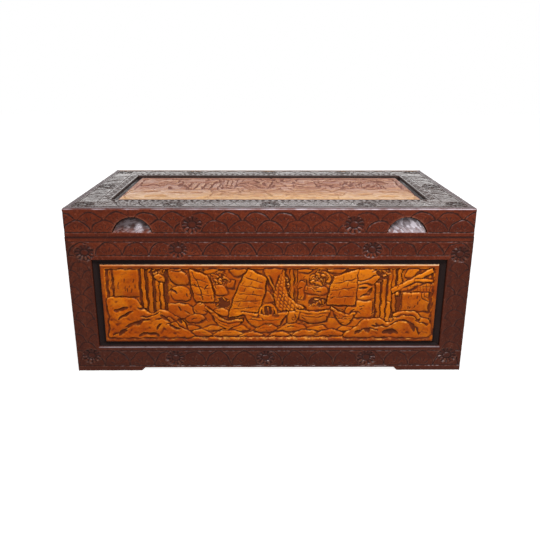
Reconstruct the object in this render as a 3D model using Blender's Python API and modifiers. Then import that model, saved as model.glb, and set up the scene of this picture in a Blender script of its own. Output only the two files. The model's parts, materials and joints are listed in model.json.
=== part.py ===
"""Camphor chest with a hinged lid, built the way its maker joins it.

The carcase is a box of camphor boards with dovetailed corners. Hardwood frames are glued on its front and
ends, and each frame surrounds a carved camphor panel with an ebonised cove moulding round it. The lid is a
mitred rim that carries boards and a framed panel of the same kind. It turns on two brass butt hinges that
lie in a V groove along the back, and the two slopes of that groove stop it just past upright.

Lengths are in metres, +Z is up and the chest faces -Y. The origin is on the floor under its middle.
"""

import math
from functools import partial

import bmesh
import bpy
from mathutils import Matrix, Vector

# The whole chest
LENGTH = 0.910
DEPTH = 0.455
HEIGHT = 0.400
LID_HEIGHT = 0.066

# Hairline that glued, resting and fitted faces keep
GAP = 0.0003

# Camphor boards of the carcase, by thickness
FRONT_BOARD = 0.012
END_BOARD = 0.012
BACK_BOARD = 0.022
BOTTOM_BOARD = 0.012
BOTTOM_BOARD_COUNT = 3

# Cleats on the end walls that the bottom boards are nailed to
CLEAT_WIDTH = 0.014
CLEAT_HEIGHT = 0.010
CLEAT_LIFT = 0.001

# Dovetails at the four corners
TAIL_COUNT = 5
TAIL_ROOT_SHARE = 0.58
TAIL_SLOPE = 0.15

# Bracket feet, left standing where the walls' lower edges are cut away
FOOT_HEIGHT = 0.0095
FRONT_FOOT = 0.152
END_FOOT = 0.105
FOOT_RAMP = 0.008

# Hardwood frames on the front and ends
FACING = 0.010
TOP_RAIL = 0.054
BOTTOM_RAIL = 0.064
STILE = 0.055
ARRIS = 0.0012

# Rounding of the chest's two front corners
CORNER_RADIUS = 0.004

# Carved panels and the cove moulding in the channel round them, which is wider beside the stiles
CHANNEL = 0.0125
STILE_CHANNEL = 0.0175
PANEL_SETBACK = 0.002
PANEL_RIM = 0.007
FIELD_DEPTH = 0.0025
PANEL_ARRIS = 0.0015
MOULDING_HEIGHT = 0.004
COVE_DEPTH = 0.0025

# How far the pictures' main forms lie under the panels' rims
FORM_SETBACK = 0.0006

# Lid
APRON = 0.022
LID_EDGE = 0.014
LID_ARRIS = 0.0035
LID_BOARD = 0.010
LID_BOARD_COUNT = 2
LID_FACING = 0.012
LID_BORDER = 0.084
LID_CHANNEL = 0.013
LID_PANEL_SETBACK = 0.0045

# Lip strips that stand up inside the lid's rim
LIP = 0.006
LIP_HEIGHT = 0.030
LIP_RISE = 0.008
LIP_PLAY = 0.0006

# Half-moon finger pulls in the lid's front
PULL_OFFSET = 0.3035
PULL_RADIUS = 0.0455
PULL_FLOOR = 0.0105
PULL_DEPTH = 0.011
PULL_LIP_DEPTH = 0.001

# Butt hinges
HINGE_OFFSET = 0.270
HINGE_LENGTH = 0.076
HINGE_SETBACK = 0.005
KNUCKLE_COUNT = 5
LEAF = 0.002
LEAF_WIDTH = 0.0155
BARREL_RADIUS = 0.0038
BARREL_PLAY = 0.0006
PIN_RADIUS = 0.0018
PIN_HEAD_RADIUS = 0.0028
PIN_HEAD = 0.0012
LID_STOP = math.radians(95)
STOP_PLAY = math.radians(1)

# Rosettes
PETAL_COUNT = 12
ROSETTE_RADIUS = 0.0195
ROSETTE_DISH_RADIUS = 0.0215
ROSETTE_DEPTH = 0.0022
LID_ROSETTE_INSET = 0.0345

# Heights and faces that several pieces share
LID_BOTTOM = HEIGHT - LID_HEIGHT
CARCASE_TOP = LID_BOTTOM - GAP
FRONT = -DEPTH / 2
BACK = DEPTH / 2
HINGE_Y = BACK - HINGE_SETBACK
HINGE_Z = LID_BOTTOM - GAP / 2
FRONT_BOARD_FACE = FRONT + FACING + GAP
FRONT_INSIDE = FRONT_BOARD_FACE + FRONT_BOARD
BACK_INSIDE = BACK - BACK_BOARD
END_BOARD_FACE = LENGTH / 2 - FACING - GAP
END_INSIDE = END_BOARD_FACE - END_BOARD
LID_SHOULDER = LID_FACING + LID_BOARD + 2 * GAP

SIDES = ("bottom", "right", "top", "left")


def hull(stern, bow, deck, depth):
    """A junk's side. The deck sags between its ends and the keel is shorter."""
    rake = (bow - stern) * 0.2
    keel = deck - depth
    sag = ((stern + bow) / 2, deck - depth / 5)
    return [(stern, deck), (stern + rake, keel), (bow - rake, keel), (bow, deck), sag]


def posts(first, last, low, high, count, width):
    """Trunks or posts that stand side by side."""
    step = (last - first) / (count - 1)
    middles = [first + index * step for index in range(count)]
    half = width / 2
    return [[(x - half, low), (x + half, low), (x + half, high), (x - half, high)] for x in middles]


# The main forms of each panel's picture, as shares of its field: across from -1 to 1 and up from 0 to 1

FRONT_PICTURE = [
    # Rocks, a wall and a grove on the left bank
    [(-0.97, 0.04), (-0.50, 0.04), (-0.57, 0.28), (-0.66, 0.40), (-0.76, 0.36), (-0.82, 0.55), (-0.97, 0.56)],
    [(-0.95, 0.61), (-0.81, 0.61), (-0.81, 0.98), (-0.95, 0.98)],
    *posts(-0.765, -0.655, 0.46, 0.97, 4, 0.018),
    # Junks under sail
    [(-0.61, 0.92), (-0.50, 0.82), (-0.49, 0.56), (-0.57, 0.60)],
    [(-0.48, 0.98), (-0.38, 0.88), (-0.34, 0.54), (-0.46, 0.56)],
    hull(-0.56, -0.41, 0.50, 0.12),
    hull(-0.39, -0.29, 0.44, 0.24),
    [(-0.13, 0.98), (-0.02, 0.86), (-0.10, 0.42), (-0.27, 0.36)],
    hull(-0.17, 0.12, 0.36, 0.22),
    [(0.09, 0.94), (0.04, 0.70), (0.04, 0.48), (0.08, 0.42), (0.20, 0.46), (0.12, 0.60)],
    *posts(0.135, 0.165, 0.60, 0.97, 2, 0.012),
    hull(0.16, 0.37, 0.40, 0.20),
    [(0.40, 0.90), (0.54, 0.98), (0.52, 0.50), (0.35, 0.48)],
    hull(0.39, 0.52, 0.42, 0.16),
    # Waves
    [(-0.45, 0.03), (-0.49, 0.16), (-0.40, 0.19), (-0.20, 0.12), (0.0, 0.11), (0.20, 0.18), (0.50, 0.22),
     (0.50, 0.03)],
    # A hill, a grove, a pavilion and rocks on the right bank
    [(0.57, 0.97), (0.62, 0.97), (0.67, 0.86), (0.64, 0.70), (0.57, 0.72)],
    *posts(0.69, 0.79, 0.30, 0.97, 4, 0.018),
    [(0.83, 0.42), (0.97, 0.42), (0.97, 0.66), (0.83, 0.66)],
    [(0.82, 0.70), (0.97, 0.70), (0.97, 0.96)],
    [(0.53, 0.04), (0.60, 0.24), (0.77, 0.24), (0.84, 0.34), (0.97, 0.36), (0.97, 0.04)],
]

LID_PICTURE = [
    [(-0.97, 0.04), (-0.46, 0.04), (-0.42, 0.28), (-0.52, 0.42), (-0.97, 0.46)],
    [(-0.97, 0.66), (-0.72, 0.66), (-0.72, 0.92)],
    *posts(-0.66, -0.42, 0.48, 0.80, 5, 0.040),
    *posts(-0.35, -0.27, 0.56, 0.95, 3, 0.022),
    [(-0.11, 0.94), (0.02, 0.89), (-0.02, 0.58), (-0.18, 0.60)],
    hull(-0.25, 0.08, 0.53, 0.14),
    [(0.22, 0.87), (0.34, 0.95), (0.35, 0.60), (0.19, 0.58)],
    hull(0.14, 0.42, 0.53, 0.14),
    [(-0.40, 0.03), (-0.38, 0.26), (-0.20, 0.36), (0.10, 0.34), (0.50, 0.36), (0.47, 0.24), (0.44, 0.03)],
    [(0.40, 0.95), (0.52, 0.96), (0.61, 0.88), (0.58, 0.75), (0.46, 0.72), (0.40, 0.80)],
    [(0.63, 0.88), (0.68, 0.96), (0.74, 0.88), (0.70, 0.78), (0.66, 0.78)],
    [(0.77, 0.90), (0.82, 0.96), (0.88, 0.90), (0.85, 0.80), (0.79, 0.80)],
    *posts(0.69, 0.82, 0.52, 0.74, 2, 0.022),
    [(0.87, 0.50), (0.97, 0.50), (0.97, 0.74), (0.87, 0.74)],
    [(0.50, 0.04), (0.53, 0.22), (0.66, 0.38), (0.78, 0.46), (0.97, 0.46), (0.97, 0.04)],
]

END_PICTURE = [
    [(-0.96, 0.04), (-0.55, 0.04), (-0.60, 0.24), (-0.76, 0.36), (-0.96, 0.38)],
    *posts(-0.90, -0.68, 0.42, 0.97, 3, 0.050),
    [(-0.18, 0.97), (0.22, 0.88), (0.10, 0.48), (-0.40, 0.44)],
    hull(-0.62, 0.46, 0.38, 0.20),
    [(-0.50, 0.03), (-0.54, 0.14), (0.0, 0.15), (0.53, 0.14), (0.48, 0.03)],
    [(0.48, 0.95), (0.80, 0.97), (0.95, 0.88), (0.93, 0.74), (0.52, 0.76)],
    [(0.52, 0.04), (0.62, 0.20), (0.95, 0.32), (0.95, 0.04)],
]


def finish(name, colour, roughness, metallic=0.0):
    """A plain Principled material."""
    made = bpy.data.materials.new(name)
    made.use_nodes = True
    shader = made.node_tree.nodes["Principled BSDF"]
    shader.inputs["Base Color"].default_value = (*colour, 1.0)
    shader.inputs["Roughness"].default_value = roughness
    shader.inputs["Metallic"].default_value = metallic
    made.diffuse_color = (*colour, 1.0)
    return made


def clear_scene():
    """Removes every object that the file opened with."""
    for thing in list(bpy.data.objects):
        bpy.data.objects.remove(thing, do_unlink=True)


def new_collection(name):
    """A collection linked to the scene."""
    made = bpy.data.collections.new(name)
    bpy.context.scene.collection.children.link(made)
    return made


def face_axes(along, up, out, origin):
    """Matrix of a face's own axes: X along it, Y up it and Z out of it."""
    made = Matrix((along, up, out)).transposed().to_4x4()
    made.translation = origin
    return made


FRONT_FACE = face_axes((1, 0, 0), (0, 0, 1), (0, -1, 0), (0, FRONT, 0))
BACK_FACE = face_axes((-1, 0, 0), (0, 0, 1), (0, 1, 0), (0, BACK, 0))
LEFT_FACE = face_axes((0, -1, 0), (0, 0, 1), (-1, 0, 0), (-LENGTH / 2, 0, 0))
RIGHT_FACE = face_axes((0, 1, 0), (0, 0, 1), (1, 0, 0), (LENGTH / 2, 0, 0))
LID_FACE = face_axes((1, 0, 0), (0, 1, 0), (0, 0, 1), (0, 0, HEIGHT))


class Chest:
    """Holds the collections, the finishes and the two bodies that pieces are parented to."""

    def __init__(self):
        self.pieces = new_collection("camphor_chest")
        self.cutters = new_collection("cutters")
        self.hardwood = finish("stained_hardwood", (0.105, 0.032, 0.018), 0.38)
        self.carving = finish("carved_camphor", (0.56, 0.20, 0.045), 0.36)
        self.ebonised = finish("ebonised_moulding", (0.012, 0.010, 0.010), 0.35)
        self.camphor = finish("plain_camphor", (0.42, 0.25, 0.13), 0.6)
        self.brass = finish("aged_brass", (0.55, 0.38, 0.14), 0.35, 1.0)
        self.carcase = self.body("carcase_body", (0, 0, 0))
        self.lid = self.body("lid_body", (0, HINGE_Y, HINGE_Z))

    def body(self, name, place):
        """An empty that carries the pieces of one rigid body, at the point that the body turns about."""
        made = bpy.data.objects.new(name, None)
        made.location = place
        made.empty_display_size = 0.03
        self.pieces.objects.link(made)
        bpy.context.view_layer.update()
        return made

    def piece(self, name, mesh, material, body, place=None):
        """A named sub-part on one of the two bodies."""
        made = bpy.data.objects.new(name, mesh)
        mesh.name = name
        mesh.materials.clear()
        mesh.materials.append(material)
        self.pieces.objects.link(made)
        made.parent = body
        made.matrix_parent_inverse = body.matrix_world.inverted()
        made.matrix_basis = place or Matrix.Identity(4)
        bpy.context.view_layer.update()
        return made

    def tool(self, name, mesh, place=None):
        """A cutter or a shape to be joined on, which isn't a piece itself."""
        made = bpy.data.objects.new(name, mesh)
        made.hide_render = True
        made.display_type = "WIRE"
        self.cutters.objects.link(made)
        made.matrix_world = place or Matrix.Identity(4)
        return made


def carve(piece, tool, operation="DIFFERENCE"):
    """Adds a live Boolean to a piece."""
    modifier = piece.modifiers.new(f"{operation.lower()}_{tool.name}", "BOOLEAN")
    modifier.operation = operation
    modifier.solver = "EXACT"
    modifier.object = tool


def tidy(mesh):
    """Welds a mesh's doubled points and turns its faces outwards."""
    work = bmesh.new()
    work.from_mesh(mesh)
    bmesh.ops.remove_doubles(work, verts=work.verts[:], dist=1e-6)
    bmesh.ops.recalc_face_normals(work, faces=work.faces[:])
    work.to_mesh(mesh)
    work.free()
    return mesh


def block(low, high):
    """A box mesh between two corners."""
    work = bmesh.new()
    bmesh.ops.create_cube(work, size=1.0)
    low, high = Vector(low), Vector(high)
    bmesh.ops.scale(work, vec=high - low, verts=work.verts[:])
    bmesh.ops.translate(work, vec=(low + high) / 2, verts=work.verts[:])
    mesh = bpy.data.meshes.new("block")
    work.to_mesh(mesh)
    work.free()
    return mesh


def cut_out(outline, thickness):
    """A flat outline in the XY plane, filled and thickened evenly to both sides along Z."""
    curve = bpy.data.curves.new("outline", "CURVE")
    curve.dimensions = "2D"
    curve.fill_mode = "BOTH"
    curve.extrude = thickness / 2
    spline = curve.splines.new("POLY")
    spline.points.add(len(outline) - 1)
    for point, (x, y) in zip(spline.points, outline):
        point.co = (x, y, 0, 1)
    spline.use_cyclic_u = True
    guide = bpy.data.objects.new("outline", curve)
    bpy.context.scene.collection.objects.link(guide)
    graph = bpy.context.evaluated_depsgraph_get()
    mesh = bpy.data.meshes.new_from_object(guide.evaluated_get(graph))
    bpy.data.objects.remove(guide)
    return tidy(mesh)


def board(outline, face, out_low, out_high):
    """A board whose outline is drawn on a face, between two distances out of that face."""
    mesh = cut_out(outline, out_high - out_low)
    mesh.transform(Matrix.Translation((0, 0, (out_low + out_high) / 2)))
    mesh.transform(face)
    return mesh


def milled_strip(section, length):
    """A strip along X from 0 to its length. Its section is drawn as (across, out), which become Y and Z."""
    mesh = cut_out(section, length)
    mesh.transform(Matrix(((0, 0, 1, length / 2), (1, 0, 0, 0), (0, 1, 0, 0), (0, 0, 0, 1))))
    return mesh


def saw(mesh, point, normal):
    """Cuts a mesh along a plane, closes the cut and drops the side that the normal points to."""
    work = bmesh.new()
    work.from_mesh(mesh)
    everything = work.verts[:] + work.edges[:] + work.faces[:]
    cut = bmesh.ops.bisect_plane(
        work, geom=everything, dist=1e-7, plane_co=point, plane_no=normal, clear_outer=True
    )
    rim = [part for part in cut["geom_cut"] if isinstance(part, bmesh.types.BMEdge)]
    bmesh.ops.holes_fill(work, edges=rim, sides=0)
    bmesh.ops.recalc_face_normals(work, faces=work.faces[:])
    work.to_mesh(mesh)
    work.free()


def saw_piece(piece, point, normal):
    """Saws a placed piece along a plane given in the chest's own axes."""
    to_mesh = piece.matrix_world.inverted()
    saw(piece.data, to_mesh @ Vector(point), to_mesh.to_3x3() @ Vector(normal))


def quarter_round(centre, radius, start, steps=3):
    """Points of a quarter circle that turns anticlockwise from an angle in degrees."""
    points = []
    for step in range(steps + 1):
        angle = math.radians(start + 90 * step / steps)
        points.append((centre[0] + radius * math.cos(angle), centre[1] + radius * math.sin(angle)))
    return points


def facing_section(width, thickness):
    """Section of a frame member, its two face edges rounded. It starts at the outer edge."""
    section = [(0, -thickness), (width, -thickness)]
    section += quarter_round((width - ARRIS, -ARRIS), ARRIS, 0)
    section += quarter_round((ARRIS, -ARRIS), ARRIS, 90)
    return section


def cove_section(width, thickness):
    """Section of the moulding in a channel: a flat strip hollowed along its face."""
    top = MOULDING_HEIGHT - thickness
    margin = width * 0.08
    section = [(0, -thickness), (width, -thickness), (width, top)]
    steps = 6
    for step in range(steps + 1):
        share = step / steps
        across = width - margin - share * (width - 2 * margin)
        section.append((across, top - COVE_DEPTH * math.sin(math.pi * share)))
    section.append((0, top))
    return section


def mitred_ring(chest, face, outer, widths, section_of, names, material, body):
    """Four strips round a rectangle, mitred where they meet.

    outer is (left, right, low, high) on the face, widths holds each side's width, and section_of makes
    the section for a width. It returns the pieces by side.
    """
    left, right, low, high = outer
    corners = {"bottom": (left, low), "right": (right, low), "top": (right, high), "left": (left, high)}
    lengths = {"bottom": right - left, "right": high - low, "top": right - left, "left": high - low}
    made = {}
    for turn, side in enumerate(SIDES):
        width = widths[side]
        before = widths[SIDES[turn - 1]]
        after = widths[SIDES[(turn + 1) % 4]]
        mesh = milled_strip(section_of(width), lengths[side])
        start = Vector((-width, before, 0)).normalized()
        end = Vector((width, after, 0)).normalized()
        saw(mesh, -start * GAP / 2, start)
        saw(mesh, Vector((lengths[side], 0, 0)) - end * GAP / 2, end)
        corner = Matrix.Translation((*corners[side], 0))
        place = face @ corner @ Matrix.Rotation(turn * math.pi / 2, 4, "Z")
        made[side] = chest.piece(names[side], mesh, material, body, place)
    return made


def carved_panel(outline, face, thickness, setback):
    """A panel with a raised rim round a sunk field, which the relief carving fills."""
    left, right, low, high = outline
    mesh = block((left, low, -thickness), (right, high, -setback))
    work = bmesh.new()
    work.from_mesh(mesh)
    work.faces.ensure_lookup_table()
    work.normal_update()
    top = next(side for side in work.faces if side.normal.z > 0.9)
    bmesh.ops.bevel(work, geom=list(top.edges), offset=PANEL_ARRIS, segments=2, profile=0.5, affect="EDGES")
    top = max(work.faces, key=lambda side: (round(side.calc_center_median().z, 6), side.calc_area()))
    bmesh.ops.inset_region(work, faces=[top], thickness=PANEL_RIM - PANEL_ARRIS)
    bmesh.ops.inset_region(work, faces=[top], thickness=FIELD_DEPTH, depth=-FIELD_DEPTH)
    work.to_mesh(mesh)
    work.free()
    mesh.transform(face)
    return mesh


def picture_mesh(picture, field, face, low, high):
    """A picture's main forms, standing between two distances out of a face."""
    left, right, bottom, top = field
    middle, half = (left + right) / 2, (right - left) / 2
    work = bmesh.new()
    for outline in picture:
        placed = [(middle + across * half, bottom + up * (top - bottom)) for across, up in outline]
        work.from_mesh(board(placed, face, low, high))
    mesh = bpy.data.meshes.new("picture")
    work.to_mesh(mesh)
    work.free()
    return mesh


def rosette_mesh(positions, face):
    """Carved flowers: a turned profile whose spokes rise and fall in turn to make the petals."""
    r = ROSETTE_RADIUS
    deep = ROSETTE_DEPTH
    button = [(0.0, -0.1), (0.16, -0.2), (0.27, -0.75)]
    petal = [(0.36, -0.6), (0.72, -0.05), (0.93, -0.35), (1.0, -1.2)]
    profile = button + petal
    valley_fall = [0, 0, 0, 0.15, 0.55, 0.5, 0]
    valley_reach = [1, 1, 1, 1, 1, 0.93, 0.88]
    spokes = 2 * PETAL_COUNT
    work = bmesh.new()
    for along, up in positions:
        rings = []
        for ring, (reach, level) in enumerate(profile[1:], start=1):
            points = []
            for spoke in range(spokes):
                angle = 2 * math.pi * spoke / spokes
                valley = spoke % 2
                radius = r * reach * (valley_reach[ring] if valley else 1)
                height = deep * (level - (valley_fall[ring] if valley else 0))
                points.append(
                    work.verts.new((along + radius * math.cos(angle), up + radius * math.sin(angle), height))
                )
            rings.append(points)
        crown = work.verts.new((along, up, deep * profile[0][1]))
        for spoke in range(spokes):
            following = (spoke + 1) % spokes
            work.faces.new((crown, rings[0][spoke], rings[0][following]))
            for inner, outer in zip(rings, rings[1:]):
                work.faces.new((inner[spoke], outer[spoke], outer[following], inner[following]))
        work.faces.new(list(reversed(rings[-1])))
    bmesh.ops.recalc_face_normals(work, faces=work.faces[:])
    mesh = bpy.data.meshes.new("rosettes")
    work.to_mesh(mesh)
    work.free()
    mesh.transform(face)
    return mesh


def dish_mesh(positions, face):
    """Round dishes that the rosettes stand in."""
    work = bmesh.new()
    for along, up in positions:
        made = bmesh.ops.create_cone(
            work,
            cap_ends=True,
            segments=2 * PETAL_COUNT,
            radius1=ROSETTE_DISH_RADIUS - ROSETTE_DEPTH / 2,
            radius2=ROSETTE_DISH_RADIUS + ROSETTE_DEPTH / 2,
            depth=2 * ROSETTE_DEPTH,
        )
        bmesh.ops.translate(work, vec=(along, up, 0), verts=made["verts"])
    mesh = bpy.data.meshes.new("dishes")
    work.to_mesh(mesh)
    work.free()
    mesh.transform(face)
    return mesh


def carve_rosettes(chest, piece, positions, face):
    """Sinks a dish at each position on a piece's face and leaves a flower standing in it."""
    carve(piece, chest.tool(f"{piece.name}_dishes", dish_mesh(positions, face)))
    carve(piece, chest.tool(f"{piece.name}_rosettes", rosette_mesh(positions, face)), "UNION")


def tail_edges(index):
    """Root and tip half-widths and centre height of one dovetail."""
    pitch = CARCASE_TOP / TAIL_COUNT
    centre = (index + 0.5) * pitch
    root = pitch * TAIL_ROOT_SHARE / 2
    return centre, root, root + END_BOARD * TAIL_SLOPE


def tailed_outline(foot):
    """Outline of a front or back board, seen along Y: dovetails at both ends and feet below."""
    tip = END_BOARD_FACE
    root = END_INSIDE - GAP
    side = [(root, 0)]
    for index in range(TAIL_COUNT):
        centre, root_half, tip_half = tail_edges(index)
        side += [(root, centre - root_half), (tip, centre - tip_half)]
        side += [(tip, centre + tip_half), (root, centre + root_half)]
    side.append((root, CARCASE_TOP))
    other = [(-x, z) for x, z in reversed(side)]
    inner = LENGTH / 2 - foot
    arch = [(-inner, 0), (-inner + FOOT_RAMP, FOOT_HEIGHT), (inner - FOOT_RAMP, FOOT_HEIGHT), (inner, 0)]
    return side + other + arch


def tail_sockets(chest, name, low_y, high_y):
    """Cutter for the sockets that a front or back board's tails fill in both end boards."""
    work = bmesh.new()
    for side in (-1, 1):
        for index in range(TAIL_COUNT):
            centre, root, tip = tail_edges(index)
            reach = END_BOARD
            root_x = END_INSIDE - reach
            root_half = root - reach * TAIL_SLOPE + GAP
            tip_x = END_BOARD_FACE + reach
            tip_half = tip + reach * TAIL_SLOPE + GAP
            outline = [(root_x, -root_half), (tip_x, -tip_half), (tip_x, tip_half), (root_x, root_half)]
            near = [work.verts.new((side * x, low_y, centre + z)) for x, z in outline]
            far = [work.verts.new((side * x, high_y, centre + z)) for x, z in outline]
            work.faces.new(near)
            work.faces.new(list(reversed(far)))
            for corner in range(4):
                following = (corner + 1) % 4
                work.faces.new((near[corner], near[following], far[following], far[corner]))
    bmesh.ops.recalc_face_normals(work, faces=work.faces[:])
    mesh = bpy.data.meshes.new(name)
    work.to_mesh(mesh)
    work.free()
    return chest.tool(name, mesh)


def foot_arch(chest, name, face, wall_length, foot):
    """Cutter for the space under a wall, between its feet."""
    inner = wall_length / 2 - foot
    below = 2 * FOOT_HEIGHT
    spread = FOOT_RAMP * below / FOOT_HEIGHT
    outline = [
        (-inner - spread, -below),
        (inner + spread, -below),
        (inner - FOOT_RAMP, FOOT_HEIGHT),
        (-inner + FOOT_RAMP, FOOT_HEIGHT),
    ]
    return chest.tool(name, board(outline, face, -max(LENGTH, DEPTH), APRON))


def make_wall_boards(chest):
    """The four dovetailed camphor boards."""
    front = board(tailed_outline(FRONT_FOOT), FRONT_FACE, FRONT - FRONT_INSIDE, FRONT - FRONT_BOARD_FACE)
    chest.piece("front_board", front, chest.camphor, chest.carcase)
    back = board(tailed_outline(FRONT_FOOT), BACK_FACE, -BACK_BOARD, 0)
    back_board = chest.piece("back_board", back, chest.hardwood, chest.carcase)
    ease_back_edge(back_board, -1)
    front_sockets = tail_sockets(chest, "front_sockets", FRONT_BOARD_FACE - FACING, FRONT_INSIDE + GAP)
    back_sockets = tail_sockets(chest, "back_sockets", BACK_INSIDE - GAP, BACK + FACING)
    for name, side, face in (("left_end_board", -1, LEFT_FACE), ("right_end_board", 1, RIGHT_FACE)):
        ends = sorted((side * END_INSIDE, side * END_BOARD_FACE))
        mesh = block((ends[0], FRONT_BOARD_FACE, 0), (ends[1], BACK, CARCASE_TOP))
        end = chest.piece(name, mesh, chest.camphor, chest.carcase)
        ease_back_edge(end, -1)
        carve(end, front_sockets)
        carve(end, back_sockets)
        carve(end, foot_arch(chest, f"{name}_arch", face, DEPTH, END_FOOT))


def make_bottom(chest):
    """Planks between the walls and the cleats under their ends, clear of the floor."""
    cleat_low = FOOT_HEIGHT + CLEAT_LIFT
    cleat_high = cleat_low + CLEAT_HEIGHT
    low = cleat_high + GAP
    start = FRONT_INSIDE + GAP
    end = BACK_INSIDE - GAP
    width = (end - start - (BOTTOM_BOARD_COUNT - 1) * GAP) / BOTTOM_BOARD_COUNT
    reach = END_INSIDE - GAP
    for name, side in (("left_cleat", -1), ("right_cleat", 1)):
        ends = sorted((side * reach, side * (reach - CLEAT_WIDTH)))
        mesh = block((ends[0], start, cleat_low), (ends[1], end, cleat_high))
        chest.piece(name, mesh, chest.camphor, chest.carcase)
    for index in range(BOTTOM_BOARD_COUNT):
        near = start + index * (width + GAP)
        mesh = block((-reach, near, low), (reach, near + width, low + BOTTOM_BOARD))
        chest.piece(f"bottom_board_{index + 1}", mesh, chest.camphor, chest.carcase)


def ease_back_edge(piece, side):
    """Saws one slope of the V groove along the back. side is 1 for the lid and -1 for the carcase."""
    slope = (LID_STOP + STOP_PLAY) / 2
    normal = (0, math.sin(slope), -side * math.cos(slope))
    saw_piece(piece, (0, HINGE_Y, HINGE_Z + side * GAP / 2), normal)


def panel_opening(half_length):
    """The space that a frame leaves on a wall, as (left, right, low, high) on its face."""
    reach = half_length - STILE
    return -reach, reach, BOTTOM_RAIL, LID_BOTTOM - TOP_RAIL


def shrunk(outline, aside, above):
    """A rectangle drawn in by one margin at the left and right and another at the bottom and top."""
    left, right, low, high = outline
    return left + aside, right - aside, low + above, high - above


def fill_opening(chest, prefix, face, opening, fit, picture, sides, body):
    """The cove mouldings and the carved panel that fill a frame's opening.

    fit is the channel's width at the sides and at the bottom and top, the frame's thickness and how far
    the panel's rim is set back.
    """
    aside, above, thickness, setback = fit
    names = {side: f"{prefix}_{sides[side]}_moulding" for side in SIDES}
    widths = {side: (aside if side in ("left", "right") else above) - 2 * GAP for side in SIDES}
    section = partial(cove_section, thickness=thickness)
    mitred_ring(chest, face, shrunk(opening, GAP, GAP), widths, section, names, chest.ebonised, body)
    mesh = carved_panel(shrunk(opening, aside, above), face, thickness, setback)
    panel = chest.piece(f"{prefix}_panel", mesh, chest.carving, body)
    rim = PANEL_RIM + FIELD_DEPTH
    field = shrunk(opening, aside + rim, above + rim)
    forms = picture_mesh(picture, field, face, -setback - 2 * FIELD_DEPTH, -setback - FORM_SETBACK)
    carve(panel, chest.tool(f"{prefix}_picture", forms), "UNION")


def make_wall_face(chest, prefix, face, wall_length, foot, picture, left_name, right_name):
    """The mitred frame on a wall, with its mouldings and panel. It returns the frame's members by side."""
    half = wall_length / 2
    sides = {"bottom": "bottom", "right": right_name, "top": "top", "left": left_name}
    kinds = {"bottom": "rail", "right": "stile", "top": "rail", "left": "stile"}
    names = {side: f"{prefix}_{sides[side]}_{kinds[side]}" for side in SIDES}
    widths = {"bottom": BOTTOM_RAIL, "right": STILE, "top": TOP_RAIL - GAP, "left": STILE}
    outer = (-half, half, 0, CARCASE_TOP)
    section = partial(facing_section, thickness=FACING)
    members = mitred_ring(chest, face, outer, widths, section, names, chest.hardwood, chest.carcase)
    carve(members["bottom"], foot_arch(chest, f"{prefix}_arch", face, wall_length, foot))
    opening = panel_opening(half)
    fit = (STILE_CHANNEL, CHANNEL, FACING, PANEL_SETBACK)
    fill_opening(chest, prefix, face, opening, fit, picture, sides, chest.carcase)
    return members


def mitre_upright_edges(members, corners):
    """Saws the members of one wall's frame along the 45 degree planes where it meets the next wall's."""
    for piece in members.values():
        for point, normal in corners:
            saw_piece(piece, point, normal)


def round_front_corner(piece, side):
    """Rounds the chest's front corner on one side, where a piece reaches it."""
    centre = Vector((side * (LENGTH / 2 - CORNER_RADIUS), FRONT + CORNER_RADIUS, 0))
    steps = 6
    for step in range(1, steps):
        angle = step * math.pi / 2 / steps
        out = Vector((side * math.sin(angle), -math.cos(angle), 0))
        saw_piece(piece, centre + out * CORNER_RADIUS, out)


def make_front(chest):
    """The chest's front: frame, mouldings and panel, with the rosettes on its rails and corners."""
    members = make_wall_face(chest, "front", FRONT_FACE, LENGTH, FRONT_FOOT, FRONT_PICTURE, "left", "right")
    half = LENGTH / 2
    draw_in = GAP / 2
    corners = [
        ((side * (half - draw_in), FRONT - draw_in, 0), (side, 1, 0)) for side in (-1, 1)
    ]
    mitre_upright_edges(members, corners)
    for piece in members.values():
        for side in (-1, 1):
            round_front_corner(piece, side)
    top_row = LID_BOTTOM - TOP_RAIL * 0.56
    bottom_row = FOOT_HEIGHT + (BOTTOM_RAIL - FOOT_HEIGHT) * 0.44
    quarter = LENGTH * 0.2375
    carve_rosettes(chest, members["top"], [(-quarter, top_row), (quarter, top_row)], FRONT_FACE)
    row = [(-quarter, bottom_row), (0, bottom_row), (quarter, bottom_row)]
    carve_rosettes(chest, members["bottom"], row, FRONT_FACE)
    return members


def make_ends(chest):
    """Both ends' frames, mouldings and panels."""
    half = LENGTH / 2
    draw_in = GAP / 2
    for prefix, side, face in (("left_end", -1, LEFT_FACE), ("right_end", 1, RIGHT_FACE)):
        left_name, right_name = ("back", "front") if side < 0 else ("front", "back")
        members = make_wall_face(chest, prefix, face, DEPTH, END_FOOT, END_PICTURE, left_name, right_name)
        corner = ((side * half, FRONT + 2 * draw_in, 0), (-side, -1, 0))
        mitre_upright_edges(members, [corner])
        for piece in members.values():
            round_front_corner(piece, side)
            ease_back_edge(piece, -1)


def make_lips(chest):
    """Strips inside the front and ends that stand up into the lid and keep dust out."""
    low = CARCASE_TOP + LIP_RISE - LIP_HEIGHT
    high = CARCASE_TOP + LIP_RISE
    outside = min(END_INSIDE - GAP, LENGTH / 2 - APRON - LIP_PLAY)
    near = max(FRONT_INSIDE + GAP, FRONT + APRON + LIP_PLAY)
    far = BACK_INSIDE - GAP
    front = block((-outside, near, low), (outside, near + LIP, high))
    chest.piece("front_lip", front, chest.camphor, chest.carcase)
    for name, side in (("left_lip", -1), ("right_lip", 1)):
        ends = sorted((side * outside, side * (outside - LIP)))
        mesh = block((ends[0], near + LIP + GAP, low), (ends[1], far, high))
        chest.piece(name, mesh, chest.camphor, chest.carcase)


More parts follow.
